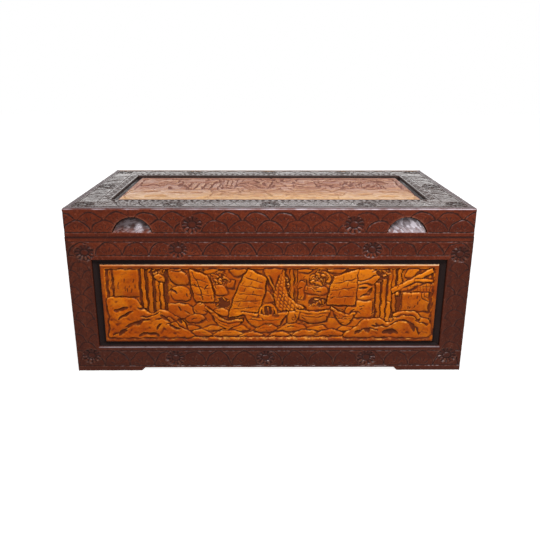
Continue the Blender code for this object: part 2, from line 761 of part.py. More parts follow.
def apron_section(width):
    """Section of the lid's rim: a rebate inside its top carries the boards."""
    section = [(0, -LID_HEIGHT), (width, -LID_HEIGHT), (width, -LID_SHOULDER)]
    section += [(LID_EDGE, -LID_SHOULDER), (LID_EDGE, 0)]
    section += quarter_round((LID_ARRIS, -LID_ARRIS), LID_ARRIS, 90)
    return section


def make_lid_rim(chest):
    """The lid's four mitred aprons."""
    names = {"bottom": "lid_front_apron", "right": "lid_right_apron", "top": "lid_back_apron",
             "left": "lid_left_apron"}
    widths = dict.fromkeys(SIDES, APRON)
    outer = (-LENGTH / 2, LENGTH / 2, FRONT, BACK)
    rim = mitred_ring(chest, LID_FACE, outer, widths, apron_section, names, chest.hardwood, chest.lid)
    for side in ("right", "top", "left"):
        ease_back_edge(rim[side], 1)
    for name, side in (("bottom", -1), ("bottom", 1), ("left", -1), ("right", 1)):
        round_front_corner(rim[name], side)
    return rim


def make_pulls(chest, apron):
    """Half-moon scoops for the fingers, deepest under their arch."""
    tilt = math.atan2(PULL_DEPTH - PULL_LIP_DEPTH, PULL_RADIUS - PULL_FLOOR)
    for name, side in (("left_pull", -1), ("right_pull", 1)):
        work = bmesh.new()
        bmesh.ops.create_cone(
            work, cap_ends=True, segments=48, radius1=PULL_RADIUS, radius2=PULL_RADIUS, depth=4 * PULL_DEPTH
        )
        mesh = bpy.data.meshes.new(name)
        work.to_mesh(mesh)
        work.free()
        mesh.transform(Matrix.Rotation(math.pi / 2, 4, "X"))
        floor = Vector((0, PULL_LIP_DEPTH, PULL_FLOOR))
        saw(mesh, floor, (0, 0, -1))
        saw(mesh, floor, (0, math.cos(tilt), -math.sin(tilt)))
        place = Matrix.Translation((side * PULL_OFFSET, FRONT, LID_BOTTOM))
        carve(apron, chest.tool(name, mesh, place))


def make_lid_top(chest):
    """The lid's boards and, on them, its frame, mouldings and panel."""
    reach = LENGTH / 2 - LID_EDGE - GAP
    near = FRONT + LID_EDGE + GAP
    far = BACK - LID_EDGE - GAP
    high = HEIGHT - LID_FACING - GAP
    width = (far - near - (LID_BOARD_COUNT - 1) * GAP) / LID_BOARD_COUNT
    for index in range(LID_BOARD_COUNT):
        start = near + index * (width + GAP)
        mesh = block((-reach, start, high - LID_BOARD), (reach, start + width, high))
        chest.piece(f"lid_board_{index + 1}", mesh, chest.camphor, chest.lid)
    sides = {"bottom": "front", "right": "right", "top": "back", "left": "left"}
    names = {side: f"lid_frame_{sides[side]}" for side in SIDES}
    widths = dict.fromkeys(SIDES, LID_BORDER - LID_EDGE - GAP)
    section = partial(facing_section, thickness=LID_FACING)
    outer = (-reach, reach, near, far)
    members = mitred_ring(chest, LID_FACE, outer, widths, section, names, chest.hardwood, chest.lid)
    opening = shrunk((-LENGTH / 2, LENGTH / 2, FRONT, BACK), LID_BORDER, LID_BORDER)
    fit = (LID_CHANNEL, LID_CHANNEL, LID_FACING, LID_PANEL_SETBACK)
    fill_opening(chest, "lid", LID_FACE, opening, fit, LID_PICTURE, sides, chest.lid)
    return members


def carve_lid_rosettes(chest, rim, members):
    """The flowers on the lid's front and round its top."""
    row = LID_BOTTOM + LID_HEIGHT * 0.42
    spot = LENGTH * 0.191
    carve_rosettes(chest, rim["bottom"], [(-spot, row), (spot, row)], FRONT_FACE)
    across = LENGTH * 0.2385
    near = BACK - LID_ROSETTE_INSET
    for side, level in (("bottom", -near), ("top", near)):
        spots = [(-across, level), (0, level), (across, level)]
        carve_rosettes(chest, members[side], spots, LID_FACE)
    aside = LENGTH / 2 - LID_ROSETTE_INSET
    carve_rosettes(chest, members["left"], [(-aside, 0)], LID_FACE)
    carve_rosettes(chest, members["right"], [(aside, 0)], LID_FACE)


def leaf_outline(first_knuckle):
    """Plan of a hinge leaf: a plate with a tab at every second knuckle. X is along the hinge."""
    half = HINGE_LENGTH / 2
    knuckle = HINGE_LENGTH / KNUCKLE_COUNT
    clear = -BARREL_RADIUS - GAP
    tab = -(BARREL_RADIUS + PIN_RADIUS + GAP) / 2
    outline = [(half, -LEAF_WIDTH), (half, clear)]
    for index in reversed(range(first_knuckle, KNUCKLE_COUNT, 2)):
        start = -half + index * knuckle
        end = start + knuckle
        inset = GAP / 2
        outline += [(end - inset, clear), (end - inset, tab), (start + inset, tab), (start + inset, clear)]
    outline += [(-half, clear), (-half, -LEAF_WIDTH)]
    kept = []
    for point in outline:
        if not kept or (Vector(point) - Vector(kept[-1])).length > 1e-6:
            kept.append(point)
    return kept


def barrel_mesh(first_knuckle, radius, inset):
    """Cylinders round X at every second knuckle."""
    knuckle = HINGE_LENGTH / KNUCKLE_COUNT
    work = bmesh.new()
    for index in range(first_knuckle, KNUCKLE_COUNT, 2):
        made = bmesh.ops.create_cone(
            work, cap_ends=True, segments=24, radius1=radius, radius2=radius, depth=knuckle - 2 * inset
        )
        bmesh.ops.rotate(work, verts=made["verts"], matrix=Matrix.Rotation(math.pi / 2, 3, "Y"))
        middle = -HINGE_LENGTH / 2 + (index + 0.5) * knuckle
        bmesh.ops.translate(work, verts=made["verts"], vec=(middle, 0, 0))
    mesh = bpy.data.meshes.new("barrel")
    work.to_mesh(mesh)
    work.free()
    return mesh


def rod_mesh(radius, length, segments=24):
    """A plain cylinder along X, centred."""
    work = bmesh.new()
    bmesh.ops.create_cone(
        work, cap_ends=True, segments=segments, radius1=radius, radius2=radius, depth=length
    )
    mesh = bpy.data.meshes.new("rod")
    work.to_mesh(mesh)
    work.free()
    mesh.transform(Matrix.Rotation(math.pi / 2, 4, "Y"))
    return mesh


def make_leaf(chest, name, first_knuckle, level, body, place):
    """One hinge leaf. level is the height of its plate's middle above the pin."""
    mesh = cut_out(leaf_outline(first_knuckle), LEAF)
    mesh.transform(Matrix.Translation((0, 0, level)))
    leaf = chest.piece(name, mesh, chest.brass, body, place)
    barrel = chest.tool(f"{name}_barrel", barrel_mesh(first_knuckle, BARREL_RADIUS, GAP / 2), place)
    carve(leaf, barrel, "UNION")
    carve(leaf, chest.tool(f"{name}_bore", rod_mesh(PIN_RADIUS + GAP, 2 * HINGE_LENGTH), place))


def make_pin(chest, name, place):
    """A hinge pin with a button head at each end, turned about its own length."""
    half = HINGE_LENGTH / 2 + GAP
    tip = half + PIN_HEAD
    profile = [
        (0, tip),
        (PIN_HEAD_RADIUS * 0.7, tip),
        (PIN_HEAD_RADIUS, tip - PIN_HEAD * 0.4),
        (PIN_HEAD_RADIUS, half),
        (PIN_RADIUS, half),
    ]
    profile += [(radius, -height) for radius, height in reversed(profile)]
    mesh = bpy.data.meshes.new(name)
    points = [(radius, 0, height) for radius, height in profile]
    mesh.from_pydata(points, [(index, index + 1) for index in range(len(points) - 1)], [])
    turn = Matrix.Rotation(math.pi / 2, 4, "Y")
    pin = chest.piece(name, mesh, chest.brass, chest.carcase, place @ turn)
    screw = pin.modifiers.new("turned", "SCREW")
    screw.steps = 16
    screw.render_steps = 16
    screw.use_merge_vertices = True
    screw.merge_threshold = 1e-5


def hinge_pocket(chest, name, side, place):
    """Cutter for a leaf's pocket and for the room round the barrel. side is 1 for the lid."""
    half = HINGE_LENGTH / 2 + GAP
    inner = side * (GAP / 2 + LEAF + GAP)
    outer = -side * GAP
    low, high = sorted((inner, outer))
    plate = block((-half, -LEAF_WIDTH - GAP, low), (half, HINGE_SETBACK, high))
    pocket = chest.tool(f"{name}_plate", plate, place)
    room = HINGE_LENGTH + 2 * (PIN_HEAD + 2 * GAP)
    barrel = chest.tool(f"{name}_room", rod_mesh(BARREL_RADIUS + BARREL_PLAY, room, 32), place)
    return pocket, barrel


def make_hinges(chest, back_apron):
    """Two butt hinges let into the back board and the lid's back apron."""
    back_board = bpy.data.objects["back_board"]
    plate_level = (GAP + LEAF) / 2
    for prefix, offset in (("left_hinge", -HINGE_OFFSET), ("right_hinge", HINGE_OFFSET)):
        place = Matrix.Translation((offset, HINGE_Y, HINGE_Z))
        make_leaf(chest, f"{prefix}_carcase_leaf", 0, -plate_level, chest.carcase, place)
        make_leaf(chest, f"{prefix}_lid_leaf", 1, plate_level, chest.lid, place)
        make_pin(chest, f"{prefix}_pin", place)
        for piece, side in ((back_board, -1), (back_apron, 1)):
            for cutter in hinge_pocket(chest, f"{prefix}_{piece.name}", side, place):
                carve(piece, cutter)


def main():
    """Builds the chest with its lid shut."""
    clear_scene()
    chest = Chest()
    make_wall_boards(chest)
    make_bottom(chest)
    make_front(chest)
    make_ends(chest)
    make_lips(chest)
    rim = make_lid_rim(chest)
    make_pulls(chest, rim["bottom"])
    members = make_lid_top(chest)
    carve_lid_rosettes(chest, rim, members)
    make_hinges(chest, rim["top"])


main()
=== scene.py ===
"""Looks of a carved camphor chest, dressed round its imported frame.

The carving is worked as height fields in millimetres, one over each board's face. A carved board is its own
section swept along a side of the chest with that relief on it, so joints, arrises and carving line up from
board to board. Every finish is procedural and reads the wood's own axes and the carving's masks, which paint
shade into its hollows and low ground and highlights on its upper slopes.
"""

import json
import logging
import math
from collections.abc import Callable, Iterator, Sequence
from contextlib import contextmanager
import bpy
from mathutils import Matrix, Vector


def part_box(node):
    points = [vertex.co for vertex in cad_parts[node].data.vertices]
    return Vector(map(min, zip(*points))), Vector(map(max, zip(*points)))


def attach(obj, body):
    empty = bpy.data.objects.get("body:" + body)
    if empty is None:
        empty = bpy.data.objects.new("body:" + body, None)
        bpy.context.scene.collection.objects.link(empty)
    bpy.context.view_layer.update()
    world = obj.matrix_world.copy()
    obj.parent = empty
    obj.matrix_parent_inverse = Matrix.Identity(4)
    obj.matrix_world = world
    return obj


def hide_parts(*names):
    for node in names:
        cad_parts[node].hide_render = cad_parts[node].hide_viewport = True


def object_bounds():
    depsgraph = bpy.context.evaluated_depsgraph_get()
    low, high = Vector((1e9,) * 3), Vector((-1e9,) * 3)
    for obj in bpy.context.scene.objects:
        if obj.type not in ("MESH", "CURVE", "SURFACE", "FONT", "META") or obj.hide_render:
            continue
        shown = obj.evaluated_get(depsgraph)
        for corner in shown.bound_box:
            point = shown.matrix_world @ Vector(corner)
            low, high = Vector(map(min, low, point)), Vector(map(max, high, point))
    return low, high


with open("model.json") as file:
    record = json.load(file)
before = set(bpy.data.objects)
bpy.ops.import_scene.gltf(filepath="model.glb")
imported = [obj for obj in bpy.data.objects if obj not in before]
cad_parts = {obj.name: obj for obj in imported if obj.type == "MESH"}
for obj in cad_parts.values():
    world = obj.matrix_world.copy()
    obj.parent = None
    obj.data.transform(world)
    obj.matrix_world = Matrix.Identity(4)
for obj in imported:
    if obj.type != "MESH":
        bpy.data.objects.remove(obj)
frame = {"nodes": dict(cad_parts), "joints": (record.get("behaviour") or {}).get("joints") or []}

from copy import copy
from dataclasses import dataclass, replace
from enum import Enum
from functools import partial

import bpy
import numpy as np
from mathutils import Matrix, Vector

CAD_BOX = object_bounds()
MM = 1000.0
# Where the stain of the boards at the back starts, along Y in metres
STAIN_EDGE = 0.215
# Clearance between a frame and what fills its opening, in millimetres
GAP = 0.3
WHOLE = (slice(None), slice(None))

Point = tuple[float, float]
Box = tuple[float, float, float, float]
Colour = tuple[float, float, float]
Grid = np.ndarray
Line = Sequence[Point] | Grid
Area = tuple[slice, slice]
Material = bpy.types.Material
Object = bpy.types.Object
Socket = bpy.types.NodeSocket

log = logging.getLogger("camphor_chest")


class Body(Enum):
    """The two rigid bodies that pieces ride on."""

    CARCASE = "carcase"
    LID = "lid"


class Slot(Enum):
    """The record's material slots."""

    HARDWOOD = "stained_hardwood"
    CARVING = "carved_camphor"
    EBONISED = "ebonised_moulding"
    BRASS = "aged_brass"


class Grain(Enum):
    """The axis that a board's fibres run along."""

    X = 0
    Y = 1
    Z = 2


# Curves and distances on a face


def smooth(points: Sequence[Point], closed: bool = False, steps: int = 6) -> Grid:
    """Draws a smooth curve through a few points.

    Args:
        points: Points on a face, in millimetres.
        closed: Whether the last point joins the first.
        steps: Points made for each span.

    Returns:
        The curve's points, one a row.
    """
    knots = np.array(points, dtype=float)
    if closed:
        ring = np.vstack([knots[-1:], knots, knots[:2]])
    else:
        ring = np.vstack([2 * knots[0] - knots[1], knots, 2 * knots[-1] - knots[-2]])
    share = np.linspace(0, 1, steps, endpoint=False)[:, None]
    spans = []
    for before, start, end, after in zip(ring, ring[1:], ring[2:], ring[3:]):
        bend = 2 * before - 5 * start + 4 * end - after
        twist = 3 * start - before - 3 * end + after
        spans.append(start + 0.5 * ((end - before) * share + bend * share**2 + twist * share**3))
    curve = np.vstack(spans)
    return curve if closed else np.vstack([curve, knots[-1:]])


def arc(centre: Point, radii: Point, start: float, end: float, steps: int = 14) -> Grid:
    """Draws an elliptical arc between two angles in degrees.

    Args:
        centre: The arc's centre on the face.
        radii: Its half-width and half-height.
        start: Where it starts, anticlockwise from the right.
        end: Where it ends.
        steps: Points in the arc.

    Returns:
        The arc's points, one a row.
    """
    angle = np.radians(np.linspace(start, end, steps))
    return np.column_stack([centre[0] + radii[0] * np.cos(angle), centre[1] + radii[1] * np.sin(angle)])


def away_from(u: Grid, v: Grid, path: Grid) -> Grid:
    """Measures each point's least distance to a path.

    Args:
        u: Places along the face.
        v: Places up the face.
        path: The path's points, one a row.

    Returns:
        The distances, in the shape of u.
    """
    least = np.full(u.shape, np.inf)
    for start, step in zip(path, np.diff(path, axis=0)):
        du, dv = u - start[0], v - start[1]
        share = np.clip((du * step[0] + dv * step[1]) / max(float(step @ step), 1e-9), 0, 1)
        least = np.minimum(least, (du - share * step[0]) ** 2 + (dv - share * step[1]) ** 2)
    return np.sqrt(least)


def leftward(points: Grid) -> Grid:
    """Gives the way to the left of a path at each of its points."""
    way = np.gradient(points, axis=0)
    return np.column_stack([-way[:, 1], way[:, 0]]) / np.hypot(*way.T)[:, None]


def within(u: Grid, v: Grid, outline: Grid) -> Grid:
    """Tells which points lie inside a closed outline.

    Args:
        u: Places along the face.
        v: Places up the face.
        outline: The outline's points, one a row.

    Returns:
        True where a point is inside.
    """
    inside = np.zeros(u.shape, dtype=bool)
    for (u0, v0), (u1, v1) in zip(outline, np.roll(outline, -1, axis=0)):
        if abs(v1 - v0) > 1e-9:
            inside ^= ((v0 > v) != (v1 > v)) & (u < u0 + (v - v0) * (u1 - u0) / (v1 - v0))
    return inside


def box_blur(heights: Grid, cells: int) -> Grid:
    """Averages a grid over a square of cells.

    Args:
        heights: The grid.
        cells: Cells from the middle of the square to its side.

    Returns:
        The averaged grid, in the same shape.
    """
    for axis in (0, 1):
        reach = min(cells, heights.shape[axis] // 2)
        pads = [(0, 0), (0, 0)]
        pads[axis] = (reach + 1, reach)
        total = np.cumsum(np.pad(heights, pads, mode="edge"), axis=axis)
        high = np.take(total, range(2 * reach + 1, total.shape[axis]), axis=axis)
        low = np.take(total, range(total.shape[axis] - 2 * reach - 1), axis=axis)
        heights = (high - low) / (2 * reach + 1)
    return heights


def ripple(u: Grid, v: Grid, size: float, seed: float = 0.0) -> Grid:
    """Gives the slow unevenness of hand work.

    Args:
        u: Places along the face.
        v: Places up the face.
        size: Rough length of a swell.
        seed: Shifts the pattern.

    Returns:
        Values from about -1 to 1.
    """
    a, b = u / size + seed, v / size + 1.7 * seed
    waves = np.sin(a * 2.1 + 1.3 * np.sin(b * 1.7)) + np.sin(b * 2.7 + 1.1 * np.sin(a * 1.9 + 2.0))
    return 0.5 * waves


# Relief


class Relief:
    """Carving over one board's face. Heights stand out of the face, in millimetres.

    Attributes:
        deepest: Depth that no cut goes past, which leaves some wood behind it.
        waver: How far a hand strays along the face and up it.
    """

    deepest: float = 6.4
    waver: Point = (1.5, 1.2)

    def __init__(self, u: Grid, v: Grid) -> None:
        """Starts flat over a grid of places along the face and up it."""
        self.u, self.v = u, v
        # The third layer holds painted highlights and reflections, partly wear; the fourth holds painted
        # shade.
        self.form, self.cuts, self.rubbed, self.dirt = (np.zeros(u.shape) for _ in range(4))
        self.spans = [
            [(places.min(axis=1 - axis), places.max(axis=1 - axis)) for places in (u, v)] for axis in (0, 1)
        ]

    def drawn_by_hand(self, share: float) -> "Relief":
        """Gives this relief under places that waver, and a drawing that fits a wider board.

        Args:
            share: Width of the drawing as a share of the board's.

        Returns:
            The same carving, read at those places.
        """
        sketch = copy(self)
        along, up = self.waver
        sketch.u = self.u * share + along * ripple(self.u, self.v, 12.0, 0.7)
        sketch.v = self.v + up * ripple(self.v, self.u, 10.0, 1.9)
        sketch.spans = [
            [(least * share - along, most * share + along), (low - up, high + up)]
            for (least, most), (low, high) in self.spans
        ]
        return sketch

    def window(self, low: Point, high: Point) -> Area | None:
        """Finds the part of the grid that meets a box on the face.

        Args:
            low: The box's lowest corner.
            high: Its highest corner.

        Returns:
            Slices of the grid, or None where the box misses it.
        """
        slices = []
        for spans in self.spans:
            meets = np.ones(len(spans[0][0]), dtype=bool)
            for (least, most), box_low, box_high in zip(spans, low, high):
                meets &= (most >= box_low) & (least <= box_high)
            found = np.nonzero(meets)[0]
            if not len(found):
                return None
            slices.append(slice(found[0], found[-1] + 1))
        return slices[0], slices[1]

    def around(self, centre: Point, reach: float) -> Area | None:
        """Finds the part of the grid within a reach of a place."""
        return self.window((centre[0] - reach, centre[1] - reach), (centre[0] + reach, centre[1] + reach))

    def near_path(self, path: Line, reach: float) -> tuple[Area, Grid] | None:
        """Finds the part of the grid within a reach of a path.

        Args:
            path: The path.
            reach: The reach.

        Returns:
            Its slices and each point's distance to the path, or None where the path misses it.
        """
        points = np.array(path, dtype=float)
        area = self.window(tuple(points.min(axis=0) - reach), tuple(points.max(axis=0) + reach))
        return None if area is None else (area, away_from(self.u[area], self.v[area], points))

    def put(self, where: Grid, area: Area = WHOLE, **layers: Grid | float) -> None:
        """Sets layers of the relief.

        Args:
            where: True at the points that change.
            area: The part of the grid that it covers.
            **layers: The new values by the layer's name.
        """
        for name, values in layers.items():
            layer = getattr(self, name)
            layer[area] = np.where(where, values, layer[area])

    def deepen(self, area: Area, cut: Grid) -> None:
        """Cuts an area at least so deep."""
        self.cuts[area] = np.maximum(self.cuts[area], cut)

    def incise(self, path: Line, width: float = 2.6, depth: float = 1.1) -> None:
        """Cuts a V groove along a path, of a width and depth at its middle."""
        if near := self.near_path(path, width):
            self.deepen(near[0], depth * np.clip(1 - 2 * near[1] / width, 0, 1))

    def paint_highlight(self, path: Line, width: float, amount: float) -> None:
        """Paints a highlight along a path, over a width."""
        if near := self.near_path(path, width):
            area, away = near
            self.rubbed[area] = np.maximum(self.rubbed[area], amount * np.clip(2 - 4 * away / width, 0, 1))

    def step(self, path: Line, depth: float, reach: float) -> None:
        """Cuts down the wood to the right of a path.

        Args:
            path: The path.
            depth: Depth of the cut at the path, where it is steep.
            reach: Where it has run out.
        """
        if near := self.near_path(path, reach):
            area, away = near
            points = np.array(path, dtype=float)
            right = away_from(self.u[area], self.v[area], points - 0.5 * leftward(points)) < away
            self.deepen(area, depth * right * np.clip(1 - away / reach, 0, 1) ** 1.6)

    def stamp(
        self,
        outline: Line,
        level: float | Callable[[Grid, Grid], Grid],
        shoulder: float = 4.6,
        drop: float = 1.8,
        trench: float = 2.6,
        halo: float = 5.6,
        tone: float = 0.055,
    ) -> None:
        """Gives the inside of an outline a level of its own, rounds its edge, trenches round it and paints
        shade on it.

        Args:
            outline: The closed outline's points.
            level: The height inside, or a function that gives it from the places.
            shoulder: Width of the rounded edge.
            drop: How far the edge falls.
            trench: Depth of the cut round the outline.
            halo: Width of that cut.
            tone: How dark the painted shade lies on it, on the average; it darkens towards the shape's lower
                side.
        """
        points = np.array(outline, dtype=float)
        ring = np.vstack([points, points[:1]])
        near = self.near_path(ring, halo)
        if near is None:
            return
        area, away = near
        u, v = self.u[area], self.v[area]
        shaded = away_from(u - 0.9, v + 1.3, ring)
        inside = within(u, v, points)
        height = level(u, v) if callable(level) else level
        fading = np.clip(0.75 + 0.55 * ripple(u, v, 14.0, 0.4), 0.1, 1.25)
        self.deepen(area, fading * trench * np.clip(1 - shaded / halo, 0, 1) ** 1.2)
        # Painted shade on the shape, darker towards its lower side.
        middle, reach = points.mean(axis=0), np.ptp(points, axis=0) + 1
        share = 1 + math.sin(0.7 * middle[0] + 1.3 * middle[1])
        painted_shading = tone * share * np.clip(0.9 + 1.3 * (middle[1] - v) / reach[1], 0, 1.6)
        rounded = height - drop * np.clip(1 - away / shoulder, 0, 1) ** 2
        self.put(inside, area, form=rounded, cuts=0, dirt=painted_shading)

    def scoop(
        self,
        centre: Point,
        radii: Point,
        depth: float,
        turn: float = 0.0,
        lean: float = 0.0,
        bend: float = 0.0,
    ) -> None:
        """Gouges an oval hollow.

        Args:
            centre: The hollow's middle.
            radii: Its half-length and half-width.
            depth: Its depth.
            turn: How far its length is turned from level, in degrees.
            lean: How much deeper its upper side is than its lower one, from 0 to 1.
            bend: How far its ends droop, as a share of its half-width.
        """
        area = self.around(centre, max(radii))
        if area is None:
            return
        du, dv = self.u[area] - centre[0], self.v[area] - centre[1]
        cosine, sine = math.cos(math.radians(turn)), math.sin(math.radians(turn))
        along = (du * cosine + dv * sine) / radii[0]
        across = (dv * cosine - du * sine) / radii[1] + bend * along**2
        hollow = depth * np.sqrt(np.clip(1 - along**2 - across**2, 0, 1))
        self.deepen(area, hollow * (1 + lean * across) / (1 + 0.4 * lean))

    def roughen(self) -> None:
        """Leaves the whole face uneven, as a plane and a scraper do."""
        self.form += 0.18 * (ripple(self.u, self.v, 16.0) + ripple(self.v, self.u, 5.0, 2.0) - 2)

    def heights(self) -> Grid:
        """Gives the finished surface."""
        return np.clip(self.form - self.cuts, -self.deepest, 0)


def painted_light_and_wear_masks(relief: Relief, spacing: float) -> dict[str, Grid]:
    """Finds where wax and painted shade lie, where highlights are painted and where edges wear.

    Args:
        relief: The finished carving.
        spacing: Distance between the grid's points.

    Returns:
        Masks from 0 to 1 by name: wax and painted shade in the hollows, painted highlights on upper slopes,
        worn edges that stand proud, painted shade on low ground, and painted highlights and reflections,
        partly where the finish is worn.
    """
    heights = relief.heights()
    rise_rows, rise_columns = np.gradient(heights)
    v_rows, v_columns = np.gradient(relief.v)
    slope = rise_rows * v_rows + rise_columns * v_columns
    upward = -slope / np.maximum(v_rows**2 + v_columns**2, 1e-6)
    near, mid, far = (
        box_blur(heights, max(1, round(reach / spacing))) - heights for reach in (1.5, 4.0, 10.0)
    )
    # Wax in the hollows, with painted shade that spreads from the recesses over the ground near them.
    wax_and_shade = 0.12 * relief.cuts + 0.3 * near + 0.48 * mid + 0.46 * far
    # Highlights are painted only away from the painted shade.
    clean = np.clip(1.2 - 0.9 * mid - 0.3 * relief.cuts - 2 * relief.dirt, 0, 1)
    masks = {
        "hollow": np.maximum(wax_and_shade, relief.dirt),
        # Painted highlights on slopes that face up, towards the light.
        "glint": np.clip(2.0 * upward - 0.5, 0, 1) * clean,
        "proud": np.clip(-1.4 * near - 0.35 * mid, 0, 1) * np.clip(1 - 4 * relief.dirt, 0, 1),
        # Painted shade that deepens with the depth of the ground, partly stain.
        "low": -heights / 5.0,
        # Painted highlights and reflections, partly where the finish is worn.
        "rubbed": relief.rubbed,
    }
    return {name: np.clip(mask, 0, 1) for name, mask in masks.items()}


# Motifs that the carver repeats


@dataclass(frozen=True)
class Rosette:
    """A chrysanthemum in a sunk dish: a round button in a ring of bead-like petals.

    Attributes:
        radius: Radius over the petals.
        petals: How many petals there are.
        depth: Depth of the dish.
        squash: Its height as a share of its width.
    """

    radius: float = 21.0
    petals: int = 12
    depth: float = 3.0
    squash: float = 0.84

    def carve(self, relief: Relief, centre: Point) -> None:
        """Cuts the flower.

        Args:
            relief: The relief that it is cut in.
            centre: Its middle.
        """
        area = relief.around(centre, self.radius * 1.16)
        if area is None:
            return
        du, dv = relief.u[area] - centre[0], (relief.v[area] - centre[1]) / self.squash
        out = np.hypot(du, dv) / self.radius * (1 + 0.04 * ripple(du, dv, 9.0, centre[0]))
        sunk = self.depth * np.clip((1.14 - out) / 0.34, 0, 1)
        flower = self.depth * 0.9 * np.sqrt(np.clip(1 - (out / 0.44) ** 2, 0, 1))
        chance = np.random.default_rng(int(abs(centre[0]) * 7 + abs(centre[1])))
        start = chance.uniform(0, 1)
        for petal in range(self.petals):
            way = 2 * math.pi * (petal + start + chance.uniform(-0.12, 0.12)) / self.petals
            outward = (du * math.cos(way) + dv * math.sin(way)) / self.radius - chance.uniform(0.7, 0.76)
            sideways = (dv * math.cos(way) - du * math.sin(way)) / self.radius
            oval = np.clip(1 - (outward / 0.3) ** 2 - (sideways / 0.19) ** 2, 0, 1)
            flower = np.maximum(flower, self.depth * chance.uniform(0.45, 0.9) * np.sqrt(oval))
        # The dish is painted in shade, more in its upper half, away from the light above.
        shaded = np.clip(1.2 - 0.8 * flower / self.depth + 0.9 * dv / self.radius, 0, 1)
        relief.put(out < 1.14, area, form=flower - sunk, cuts=0, dirt=0.3 * sunk / self.depth * shaded)


@dataclass(frozen=True)
class Scale:
    """One scale of a border: its arch, a faint inner arch and a few short strokes.

    Attributes:
        half: Half its width.
        rise: Its height.
        power: Its roundness: 2 is an ellipse, and less is more pointed.
        strokes: How many strokes fan out of its foot.
        line: Width of the arch's groove.
        depth: Depth of the groove.
    """

    half: float = 27.0
    rise: float = 29.0
    power: float = 1.75
    strokes: int = 5
    line: float = 5.4
    depth: float = 1.3

    def carve(self, relief: Relief, foot: Point, upwards: Point = (0.0, 1.0)) -> None:
        """Cuts the scale, a little by eye.

        Args:
            relief: The relief that it is cut in.
            foot: The middle of its foot.
            upwards: The way that it stands.
        """
        chance = np.random.default_rng(int(abs(foot[0] * 31 + foot[1] * 7)))
        foot = (foot[0] + chance.uniform(-1.2, 1.2), foot[1] + chance.uniform(-0.8, 0.8))
        firm = chance.uniform(0.35, 1.0)
        area = relief.around(foot, max(self.half, self.rise) + self.line)
        if area is None:
            return
        du, dv = relief.u[area] - foot[0], relief.v[area] - foot[1]
        up = du * upwards[0] + dv * upwards[1]
        side = du * upwards[1] - dv * upwards[0]
        powers = np.abs(side / self.half) ** self.power + np.abs(up / self.rise) ** self.power
        out = powers ** (1 / self.power) * (1 + 0.05 * ripple(side, up, 12.0, foot[0]))
        span = np.hypot(side, up) / np.maximum(out, 0.05)
        arch = firm * self.depth * np.clip(1 - 2 * np.abs(out - 1) * span / self.line, 0, 1)
        inner = firm * 0.3 * self.depth * np.clip(1 - 2 * np.abs(out - 0.74) * span / 2.6, 0, 1)
        askew = 0.3 * math.sin(foot[0] + foot[1])
        turn = np.arctan2(up / self.rise, side / self.half) * self.strokes / np.pi + askew
        apart = np.abs(turn - np.floor(turn) - 0.5) * np.pi * out * self.half / self.strokes
        strokes = 0.55 * self.depth * np.clip(1 - apart / 1.3, 0, 1) * ((out > 0.28) & (out < 0.58))
        cut = np.where(up > 0, np.maximum.reduce([arch, inner, strokes]), 0)
        relief.deepen(area, cut)
        relief.put((out < 1) & (up > 0), area, cuts=cut, form=-0.6 * self.depth * out**2)


# Sections and boards


def eased_lines(length: float, spacing: float) -> Grid:
    """Places grid lines evenly along a length, with closer ones at both ends for the arrises.

    Args:
        length: The whole length.
        spacing: Distance between lines away from the ends.

    Returns:
        The lines' places, from 0 to the length.
    """
    ends = np.array([0.0, 0.25, 0.7, 1.3, 2.1, 3.1])
    if length < 4 * ends[-1]:
        return np.linspace(0, length, max(2, round(length / spacing) + 1))
    middle = np.linspace(ends[-1], length - ends[-1], max(2, round((length - 2 * ends[-1]) / spacing) + 1))
    return np.concatenate([ends[:-1], middle, length - ends[-2::-1]])


def rounding(away: Grid, radius: float) -> Grid:
    """Gives how far a rounded arris lies below the face at each distance from its edge.

    Args:
        away: Distances from the edge.
        radius: The arris's radius.

    Returns:
        Depths, 0 past the radius.
    """
    if radius <= 0:
        return np.zeros_like(away)
    inward = np.clip(radius - away, 0, radius)
    return radius - np.sqrt(radius**2 - inward**2)


@dataclass(frozen=True)
class Face:
    """A face of the chest, with its axes in the chest's own frame.

    Attributes:
        origin: A point of the face in metres, where its places are 0.
        along: The way that u runs.
        up: The way that v runs.
        out: The way out of the wood.
    """

    origin: Vector
    along: Vector
    up: Vector
    out: Vector

    def to_chest(self, u: Grid, v: Grid, w: Grid) -> Grid:
        """Turns places on the face, in millimetres, into points of the chest in metres."""
        axes = np.array([self.along, self.up, self.out])
        return np.stack([u, v, w], axis=-1) @ axes / MM + np.array(self.origin)

    def rect(self, node: str) -> tuple[float, float, float, float]:
        """Gives a CAD node's left, right, low and high on the face, in millimetres."""
        corners = [(corner - self.origin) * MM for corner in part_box(node)]
        u = sorted(corner.dot(self.along) for corner in corners)
        v = sorted(corner.dot(self.up) for corner in corners)
        return u[0], u[1], v[0], v[1]

    def sink(self, node: str) -> float:
        """Gives how far a CAD node's outermost face lies under this one, in millimetres."""
        return -max((corner - self.origin).dot(self.out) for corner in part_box(node)) * MM


@dataclass(frozen=True)
class EndCut:
    """How one end of a board is cut.

    Attributes:
        slope: Millimetres along for each one across, for a mitre in the face.
        plan: Whether it is mitred at 45 degrees into the board round the chest's corner.
        radius: Radius of that corner's arris.
    """

    slope: float = 0.0
    plan: bool = False
    radius: float = 0.0

    def place(self, across: Grid, depth: Grid) -> Grid:
        """Gives where the cut lies at each row of a section, along the board."""
        cut = across * self.slope
        if self.plan:
            cut = np.maximum(cut, np.maximum(depth, self.radius * (1 - math.sqrt(0.5))))
        return cut


@dataclass
class Section:
    """A board's section, from its outer edge round its carved side and back.

    Attributes:
        across: Distance of each carved row in from the outer edge.
        depth: Its depth below the face.
        lean: The way that relief rises there, across and out.
        run: Its distance along the carved side, where the pattern is read.
        arris: How far rounding lowers it.
        back: The rows that close the section, as across and depth.
    """

    across: Grid
    depth: Grid
    lean: Grid
    run: Grid
    arris: Grid
    back: list[Point]


